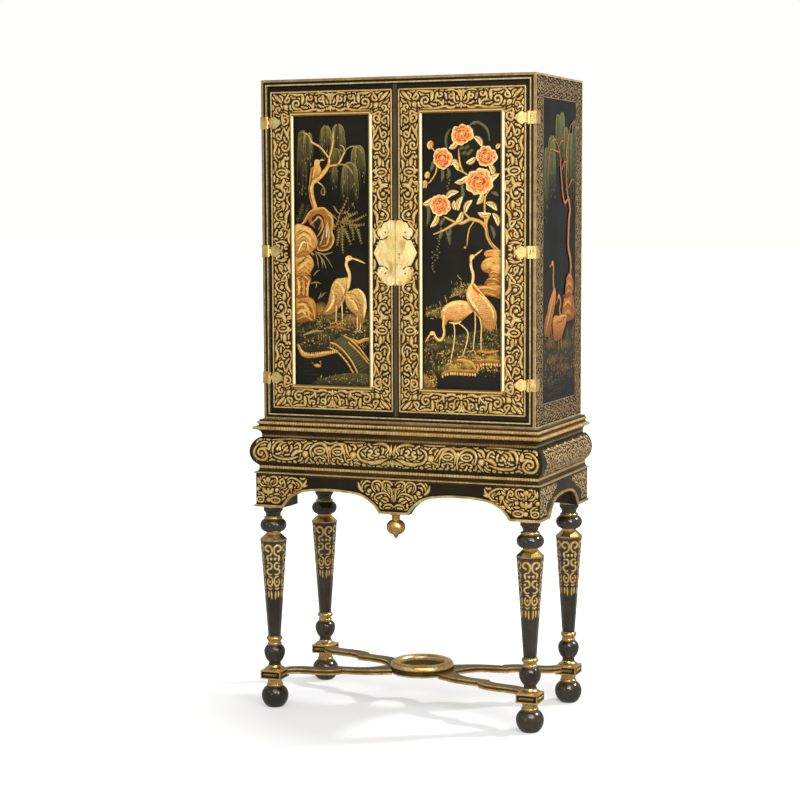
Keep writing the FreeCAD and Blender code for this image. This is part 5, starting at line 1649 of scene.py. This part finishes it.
    # Second crane
    paint.body([(144, 240), (158, 246), (172, 251), (186, 243), (195, 225), (199, 200), (196, 176),
                (187, 158), (176, 160), (171, 180), (157, 192), (145, 206), (141, 224)], (132, 90, 36),
               (212, 176, 98))
    brush([(176, 250), (190, 236), (196, 210), (192, 176)], 9, CREAM, STRAW, AMBER)
    brush([(148, 230), (160, 216), (170, 200), (180, 190)], 10, STRAW, CREAM, AMBER)
    brush([(146, 238), (164, 236), (176, 222), (184, 200), (184, 176)], 4, OCHRE)
    brush([(152, 226), (166, 220), (176, 206), (178, 186)], 2.6, RUST)
    paint.feathers((178, 210), 34, 13, -78, rows=6)
    paint.legs([(174, 178), (174, 160), (174, 144)], [(184, 164), (183, 154), (181, 144)])
    # Banks with a pale edge
    tufts(40, 90, 204, 140, 170, [OCHRE, AMBER, OLIVE_PALE])
    brush([(4, 104), (12, 88), (20, 77), (40, 74), (70, 79), (100, 84), (118, 85)], 11, AMBER, STRAW, OCHRE,
          0.5)
    paint.scallops([(14, 88), (24, 81), (44, 79), (74, 83), (116, 88)])
    brush([(152, 122), (175, 113), (192, 119), (208, 122)], 9, AMBER, STRAW, OCHRE, 0.3, 0.8)
    # Bridge
    fill([(96, 106), (137, 126), (176, 98), (206, 60), (206, 34), (176, 30), (150, 66), (122, 92)],
         (46, 42, 20), (84, 76, 36))
    for k in range(14):
        share = k / 13
        x, y = 112 + 66 * share, 102 - 66 * share ** 1.3
        brush([(x, y), (x + 16, y + 10), (x + 30, y + 16)], 1.3, OLIVE)
    for points, width in (
            ([(97, 111), (115, 105), (140, 85), (160, 60), (176, 30)], 4.4),
            ([(95, 98), (120, 85), (145, 60), (162, 34)], 4.4),
            ([(136, 129), (155, 119), (180, 98), (206, 66)], 4.0),
            ([(148, 113), (175, 90), (206, 58)], 3.4)):
        brush(points, width, STRAW, AMBER, OCHRE, 0.9, 0.8)
    for k in range(9):
        share = k / 8
        x, y = 98 + 66 * share, 108 - 8 * share - 62 * share ** 1.6
        brush([(x, y), (x - 2, y - 11)], 2.0, OCHRE, first=1, last=1)
    # Duck
    dab((60, 50), 11, 5, -8, STRAW, OCHRE, 14, 0.1)
    brush([(67, 51), (70, 56), (69, 60)], 3.4, OCHRE)
    dab((68, 60), 3, 2.6, 0, AMBER, RUST, 10, 0.1)
    brush([(51, 52), (46, 56), (44, 60)], 2.4, OCHRE)
    # Foreground and ripples
    fill([(54, 0), (60, 13), (78, 18), (100, 24), (150, 33), (208, 30), (208, 0)], (44, 40, 20),
         (86, 78, 38))
    tufts(60, 58, 204, 2, 26, [OLIVE, OLIVE_PALE, OCHRE, MOSS])
    for y in range(8, 92, 9):
        x = chance.uniform(4, 40)
        brush([(x, y), (x + 20, y + 1), (x + chance.uniform(30, 60), y)], 1.0, (46, 44, 28))


def right_picture(paint):
    """Peony branch over two cranes on a bank: a and b from the panel's lower left."""
    brush, dab, fill = paint.brush, paint.dab, paint.fill
    tufts, fern, leaf = paint.tufts, paint.fern, paint.leaf
    # Water, ground and moss
    fill([(0, 0), (208, 0), (208, 62), (145, 40), (140, 37), (65, 36), (40, 20), (0, 24)], (22, 22, 16),
         (30, 30, 22))
    fill([(0, 24), (30, 24), (55, 32), (140, 38), (148, 60), (208, 62), (208, 150), (150, 150), (90, 136),
          (60, 128), (0, 122)], (36, 34, 18), (62, 58, 28))
    for x, y, a, b, colour in (
            (30, 108, 36, 14, MOSS), (70, 122, 34, 12, OLIVE), (40, 80, 40, 16, OLIVE_DARK),
            (90, 100, 40, 14, (96, 78, 34)), (110, 74, 42, 13, OCHRE), (130, 56, 24, 16, OCHRE),
            (60, 50, 40, 12, (100, 84, 36)), (160, 130, 34, 14, OLIVE_DARK), (165, 98, 40, 8, OCHRE),
            (28, 192, 24, 12, OLIVE), (96, 246, 22, 12, OLIVE), (170, 252, 36, 12, OCHRE),
            (84, 56, 32, 11, GOLDEN), (122, 64, 26, 14, GOLDEN), (182, 82, 30, 8, GOLDEN),
            (146, 82, 26, 8, OCHRE)):
        dab((x, y), a, b, 0, colour, blended(colour, NIGHT, 0.75), 18, 0.0, 0.04)
    tufts(340, 4, 204, 34, 134, [OLIVE, MOSS, LIME, OCHRE, GOLDEN, OLIVE_PALE])
    tufts(170, 50, 204, 44, 98, [GOLDEN, STRAW, OCHRE, LIME, AMBER])
    tufts(60, 8, 60, 176, 208, [OLIVE_PALE, OCHRE, OLIVE, GOLDEN])
    tufts(70, 76, 130, 228, 266, [OLIVE_PALE, OCHRE, GOLDEN, LIME])
    tufts(60, 140, 206, 244, 266, [GOLDEN, OCHRE, AMBER, LIME])
    # Blades on the banks
    for points in (
            [(4, 186), (22, 192), (40, 202), (56, 208)], [(78, 236), (96, 240), (106, 250), (110, 262)],
            [(92, 288), (98, 280), (104, 276)], [(44, 222), (46, 214), (50, 210)],
            [(58, 236), (62, 226), (64, 216)], [(86, 256), (90, 250), (90, 244)],
            [(70, 230), (78, 234), (84, 234)]):
        brush(points, 3.2, OLIVE_PALE, OLIVE, OCHRE)
    # Dull leaves and stems behind the branch
    for points in (
            [(50, 557), (52, 538), (50, 520)], [(26, 572), (22, 558), (20, 546)],
            [(46, 410), (54, 424), (60, 432)], [(60, 402), (66, 382), (72, 362)],
            [(182, 494), (192, 486), (202, 484)], [(180, 412), (184, 396), (190, 378)],
            [(48, 408), (40, 392), (44, 376)], [(74, 408), (70, 392), (64, 378)],
            [(10, 470), (8, 440), (10, 410)], [(104, 512), (106, 494), (103, 472)],
            [(66, 556), (72, 540), (70, 528)]):
        leaf(points[0], points[-1], 9, SAGE, (64, 68, 48), 0.1)
    for x, y in ((104, 604), (118, 606), (128, 596), (110, 592), (122, 590)):
        dab((x, y), 9, 5, 30, OLIVE, OLIVE_DARK, 12)
    brush([(124, 658), (136, 666), (152, 664), (168, 652), (175, 636), (176, 620)], 7, OLIVE, SAGE,
          OLIVE_DARK)
    fern([(128, 660), (146, 667), (162, 658), (174, 640), (177, 622)], 6, SAGE, OLIVE, 6)
    brush([(74, 652), (64, 636), (62, 618), (66, 600)], 7, (84, 86, 60), (60, 62, 44), SAGE)
    # Hanging rows of small buds
    for x, top, low in ((68, 545, 496), (104, 512, 468), (40, 392, 330), (28, 350, 296)):
        for y in range(low, top, 7):
            dab((x + paint.chance.uniform(-4, 4), y), 2.4, 1.6, 0, GREY, SAGE, 7)
            dab((x + paint.chance.uniform(-4, 4), y + 3), 1.6, 1.2, 0, SAGE, OLIVE_DARK, 7)
    # Branch and twigs
    for points, width in (
            ([(206, 346), (196, 353), (182, 366), (172, 384), (168, 404), (156, 419), (140, 425),
              (126, 427), (106, 418), (90, 418), (75, 410), (54, 399), (28, 389)], 8.5),
            ([(168, 400), (170, 424), (180, 440)], 7),
            ([(166, 412), (165, 440), (166, 480), (180, 502)], 5),
            ([(128, 427), (118, 436), (108, 445)], 5), ([(86, 420), (72, 426), (56, 434)], 5),
            ([(136, 421), (125, 404), (120, 382), (118, 360)], 3.6),
            ([(122, 535), (106, 545), (88, 552)], 4.5), ([(108, 543), (99, 566), (95, 602)], 4.5),
            ([(34, 594), (26, 604), (20, 612)], 3.4), ([(38, 556), (32, 538), (18, 520), (6, 514)], 4)):
        brush(points, width, STRAW, OCHRE, AMBER, 1.0, 0.25, dome=0.12)
    brush([(200, 349), (186, 362), (174, 384), (171, 402), (160, 416)], 2.0, RUST, dome=0.12)
    dab((113, 357), 3.5, 3.5, 0, PEACH, (150, 90, 80), 10)
    # Leaves, peonies and closed flowers
    for root, tip in (
            ((92, 622), (70, 603)), ((136, 632), (158, 606)), ((140, 580), (115, 567)),
            ((76, 574), (95, 548)), ((120, 534), (85, 518)), ((160, 494), (144, 464)),
            ((176, 562), (187, 535)), ((176, 510), (204, 540)), ((60, 478), (96, 496)),
            ((26, 480), (-2, 464)), ((40, 442), (20, 407)), ((94, 448), (106, 484)),
            ((112, 442), (132, 475)), ((106, 446), (88, 418)), ((182, 440), (146, 443)),
            ((168, 468), (198, 448)), ((186, 442), (201, 410)), ((74, 562), (92, 574)),
            ((196, 600), (206, 612)), ((88, 450), (84, 474))):
        leaf(root, tip, 14 if abs(tip[1] - root[1]) + abs(tip[0] - root[0]) > 34 else 11)
    for centre, a, b, turn in (
            ((105, 638), 33, 27, 15), ((168, 582), 31, 28, -10), ((53, 579), 28, 31, 40),
            ((150, 520), 44, 31, 8), ((47, 462), 31, 27, -20)):
        paint.peony(centre, a, b, turn)
    for x, y, size in ((20, 613, 11), (12, 538, 9), (5, 515, 10)):
        dab((x, y), size, size * 0.8, 70, AMBER, OCHRE, 14, 0.1)
        leaf((x - 3, y - size), (x + 2, y + size), size * 0.8, CREAM, PEACH)
        leaf((x + 4, y - size), (x + 5, y + size * 0.8), size * 0.6, STRAW, CORAL)
    # Rocks
    for outline, low, high in (
            ([(208, 350), (186, 352), (168, 348), (164, 338), (178, 330), (208, 330)], CORAL, PEACH),
            ([(208, 332), (176, 332), (160, 322), (156, 306), (172, 294), (208, 296)], OCHRE, PEACH),
            ([(208, 300), (184, 300), (176, 288), (186, 280), (208, 280)], RUST, AMBER),
            ([(208, 284), (184, 280), (168, 272), (172, 262), (208, 258)], RUST, OCHRE),
            ([(138, 258), (160, 262), (208, 262), (208, 232), (180, 238), (156, 246)], RUST, AMBER)):
        paint.boulder(outline, low, high, 2)
    for x, y, size in ((196, 308, 15), (194, 340, 12), (176, 316, 12)):
        dab((x, y), size, size * 0.7, 10, STRAW, AMBER, 14, 0.1)
    # Crane that feeds
    paint.body([(50, 200), (64, 215), (85, 223), (108, 224), (128, 216), (137, 200), (128, 192), (105, 177),
                (85, 171), (68, 174), (60, 160), (52, 172), (48, 186)], (180, 112, 48), (240, 196, 116))
    brush([(58, 186), (55, 162), (57, 142), (52, 127), (43, 122), (34, 128), (28, 139), (20, 142)], 9,
          STRAW, OCHRE, CREAM, 1.2, 0.7, 0.75, dome=0.12)
    dab((24, 140), 7, 5, 20, CREAM, STRAW, 14, 0.1)
    brush([(20, 139), (12, 128), (5, 117)], 4.4, STRAW, AMBER, OCHRE, 0.9, 0.1, dome=0.12)
    brush([(54, 196), (68, 210), (92, 217), (116, 214)], 9, CREAM, STRAW, STRAW)
    brush([(62, 180), (84, 172), (104, 176), (126, 192)], 4, OCHRE)
    brush([(70, 168), (88, 166), (104, 172)], 5, CREAM, STRAW, AMBER)
    paint.feathers((92, 198), 34, 15, 8, rows=6)
    paint.legs([(82, 168), (85, 145), (83, 115), (77, 86), (73, 66)],
               [(92, 168), (106, 160), (120, 144), (118, 120), (107, 86)])
    # Tall crane
    paint.body([(136, 268), (125, 262), (117, 246), (118, 228), (128, 208), (145, 186), (160, 168),
                (172, 152), (186, 150), (195, 168), (198, 186), (192, 206), (176, 226), (160, 243),
                (144, 262)], (160, 100, 42), (244, 200, 120))
    brush([(132, 334), (129, 326), (130, 308), (135, 290), (134, 272), (130, 258)], 9, CREAM, (170, 96, 60),
          STRAW, 0.7, 1.2, 0.85, dome=0.12)
    dab((132, 333), 7.5, 6, 40, CREAM, STRAW, 14, 0.1)
    brush([(126, 336), (126, 326), (128, 314)], 3.2, (176, 92, 52), dome=0.05)
    brush([(136, 335), (146, 342), (160, 352)], 4.4, STRAW, OCHRE, CREAM, 0.9, 0.1, dome=0.12)
    brush([(132, 264), (138, 254), (150, 242), (160, 236)], 9, CORAL, OCHRE, AMBER)
    brush([(124, 250), (124, 232), (136, 214), (150, 198)], 10, CREAM, STRAW, STRAW)
    brush([(150, 240), (168, 222), (184, 200), (190, 176)], 8, STRAW, CREAM, AMBER)
    brush([(122, 228), (134, 206), (150, 188), (164, 172)], 3.4, RUST)
    for x in range(160, 196, 5):
        brush([(x, 172), (x + 1, 158), (x + 1.5, 148 + x % 3 * 4)], 3, AMBER, OCHRE, RUST)
    paint.feathers((160, 204), 42, 18, -50, rows=8)
    paint.legs([(140, 196), (141, 160), (138, 130), (135, 100)],
               [(152, 184), (157, 160), (156, 130), (156, 102)])
    # Banks with pale edges
    brush([(150, 98), (176, 96), (204, 100)], 8, AMBER, OCHRE, OCHRE)
    brush([(90, 74), (112, 72), (130, 66), (142, 50)], 9, AMBER, STRAW, OCHRE)
    brush([(50, 36), (62, 43), (80, 46), (110, 46), (140, 46)], 8, OCHRE, GOLDEN, RUST, 0.6, 0.8)
    paint.scallops([(52, 31), (60, 36), (74, 39), (100, 39), (140, 38)], 7.0)
    brush([(146, 70), (170, 74), (206, 72)], 10, OCHRE, GOLDEN, RUST, 0.8, 1.0)
    paint.scallops([(147, 62), (170, 65), (206, 64)], 7.0)
    brush([(144, 42), (148, 54), (146, 66)], 5, AMBER)
    # Foreground
    fill([(0, 0), (26, 0), (34, 8), (26, 16), (16, 26), (0, 34)], (96, 74, 28), OCHRE)
    tufts(70, 2, 36, 0, 34, [STRAW, OCHRE, OLIVE, GOLDEN, LIME, GOLDEN])
    tufts(60, 150, 204, 104, 150, [OLIVE, MOSS, OLIVE_PALE])


def side_picture(paint):
    """Willow over two cranes and rocks, duller: a from the front edge, b from the case's bottom."""
    brush, dab, fill, tufts, fern = paint.brush, paint.dab, paint.fill, paint.tufts, paint.fern
    chance = paint.chance
    bark, bark_dark, dull = (206, 132, 68), (128, 74, 34), (176, 122, 60)
    # Ground and moss
    fill([(64, 67), (336, 67), (336, 190), (270, 206), (190, 204), (120, 212), (64, 206)], (14, 13, 7),
         (52, 46, 22))
    for x, y, a, b, colour in (
            (110, 206, 50, 14, MOSS), (250, 198, 66, 14, OLIVE), (140, 166, 66, 14, (104, 78, 36)),
            (240, 140, 80, 16, (92, 66, 32)), (120, 110, 50, 16, (52, 46, 26)),
            (290, 230, 40, 18, OLIVE_DARK)):
        dab((x, y), a, b, 0, colour, blended(colour, NIGHT, 0.8), 20, 0.0, 0.04)
    tufts(320, 68, 332, 104, 224, [OLIVE, MOSS, dull, OLIVE_PALE, GOLDEN, LIME], 9)
    # Willow
    for left, right, top, low in (
            (68, 104, 700, 500), (98, 160, 730, 560), (156, 196, 786, 650), (190, 232, 792, 640),
            (226, 264, 756, 580), (258, 298, 742, 556), (292, 334, 776, 540)):
        paint.curtain(left, right, top, low, 24, (146, 154, 108), (58, 68, 42))
    brush([(283, 372), (288, 400), (280, 425), (266, 446), (265, 480), (270, 520), (278, 546), (262, 578)],
          15, bark, bark_dark, dull, 1.1, 0.8, dome=0.12)
    for points, width in (
            ([(262, 572), (235, 562), (220, 575), (210, 600), (200, 640), (190, 680), (180, 702)], 9),
            ([(262, 570), (250, 600), (245, 640), (250, 670), (245, 690), (255, 722), (262, 742)], 8),
            ([(208, 648), (225, 665), (250, 668)], 5),
            ([(184, 705), (200, 718), (220, 718), (228, 704)], 4),
            ([(182, 698), (160, 715), (140, 720), (115, 712), (100, 700)], 4),
            ([(184, 690), (150, 692), (120, 695), (105, 690), (95, 660), (85, 620)], 4),
            ([(262, 600), (290, 620), (312, 622)], 4), ([(256, 720), (280, 760), (312, 772)], 4)):
        brush(points, width, bark, bark_dark, dull, 1.1, 0.3, dome=0.12)
    # Rocks
    for outline in (
            [(224, 262), (322, 262), (326, 300), (300, 330), (262, 340), (236, 318)],
            [(240, 322), (300, 326), (312, 350), (288, 378), (256, 372)]):
        paint.boulder(outline, bark_dark, bark, 3)
    # Cranes
    for body, neck, head, beak, legs in (
            ([(150, 346), (125, 326), (105, 306), (95, 286), (78, 270), (70, 240), (76, 232), (100, 226),
              (120, 236), (132, 260), (150, 290), (166, 322), (160, 344)],
             [(138, 412), (145, 398), (143, 372), (148, 344)], (136, 410),
             [(132, 408), (122, 404), (108, 400)],
             ([(112, 234), (110, 214), (112, 196)], [(128, 250), (128, 220), (130, 200)])),
            ([(140, 262), (164, 276), (200, 271), (240, 266), (258, 270), (250, 250), (225, 226),
              (195, 212), (152, 216)],
             [(196, 324), (206, 308), (198, 290), (206, 272)], (190, 324),
             [(186, 320), (174, 312), (164, 304)],
             ([(190, 214), (190, 196), (192, 180)], [(214, 222), (214, 202), (216, 186)]))):
        paint.body(body, bark_dark, AMBER)
        brush(neck, 9, AMBER, bark, dull, 0.8, 1.1, dome=0.12)
        dab(head, 8, 6, 20, STRAW, bark, 14, 0.1)
        brush(beak, 4.5, dull, bark)
        centre = sum(p[0] for p in body) / len(body), sum(p[1] for p in body) / len(body)
        paint.feathers(centre, 36, 17, 55 if centre[0] < 150 else 10, bark_dark, 6)
        a, b = Vector(body[0]), Vector(body[len(body) // 2])
        brush([a, a.lerp(b, 0.5) + Vector((10, 6)), b], 9, STRAW, AMBER, bark, dome=0.05)
        brush([a.lerp(b, 0.1) + Vector((8, -8)), a.lerp(b, 0.6) + Vector((12, -6)), b.lerp(a, 0.1)], 3,
              bark_dark)
        for points in legs:
            brush(points, 4, dull, bark_dark, first=0.9, last=0.6)
    # Ferns and ripples
    for points in (
            [(300, 262), (310, 300), (322, 330)], [(80, 212), (74, 236), (70, 256)],
            [(250, 200), (262, 222), (268, 244)], [(150, 196), (146, 212), (140, 224)],
            [(306, 200), (312, 224), (324, 242)]):
        fern(points, 14, OLIVE, OLIVE_PALE)
    for y in range(76, 112, 8):
        x = chance.uniform(76, 140)
        brush([(x, y), (x + 40, y + 2), (x + chance.uniform(80, 150), y)], 1.4, (70, 62, 38))


def trim(piece, low, high):
    """Cut a piece off at the sides of a box, given by two corners in millimetres."""
    work = bmesh.new()
    work.from_mesh(piece.data)
    for corner, way in ((low, -1.0), (high, 1.0)):
        for axis in (0, 2):
            normal = Vector((0.0, 0.0, 0.0))
            normal[axis] = way
            bmesh.ops.bisect_plane(work, geom=work.verts[:] + work.edges[:] + work.faces[:], dist=1e-7,
                                   plane_co=Vector(corner) * MM, plane_no=normal, clear_outer=True)
    work.to_mesh(piece.data)
    work.free()


def pictures():
    """The doors' pictures, trimmed to their panels, and the sides' picture on both sides."""
    for sign, side, draw in ((1, "right", right_picture), (-1, "left", left_picture)):
        left = PANEL_LEFT if sign > 0 else -PANEL_RIGHT
        right = left + PANEL_RIGHT - PANEL_LEFT
        work = Painting(lambda a, b, h: Vector((left + a, PANEL_FRONT - h, PANEL_BOTTOM + b)), 21 + sign)
        draw(work)
        piece = work.object(side + "_door_picture", side + "_door", "paint")
        trim(piece, (left, 0, PANEL_BOTTOM), (right, 0, PANEL_TOP))
        work = Painting(lambda a, b, h: Vector((sign * (SIDE_X + h), FRONT + a, CASE_BOTTOM + b)), 31)
        side_picture(work)
        work.object(side + "_side_picture", "body", "dull_paint")


place_camera()
set_world(SEEN, LIT, MIRRORED)
for lamp in LIGHTS:
    light(*lamp)
dress()
ornament()
pictures()
lay_floor()
bpy.context.scene.view_settings.view_transform = "Standard"
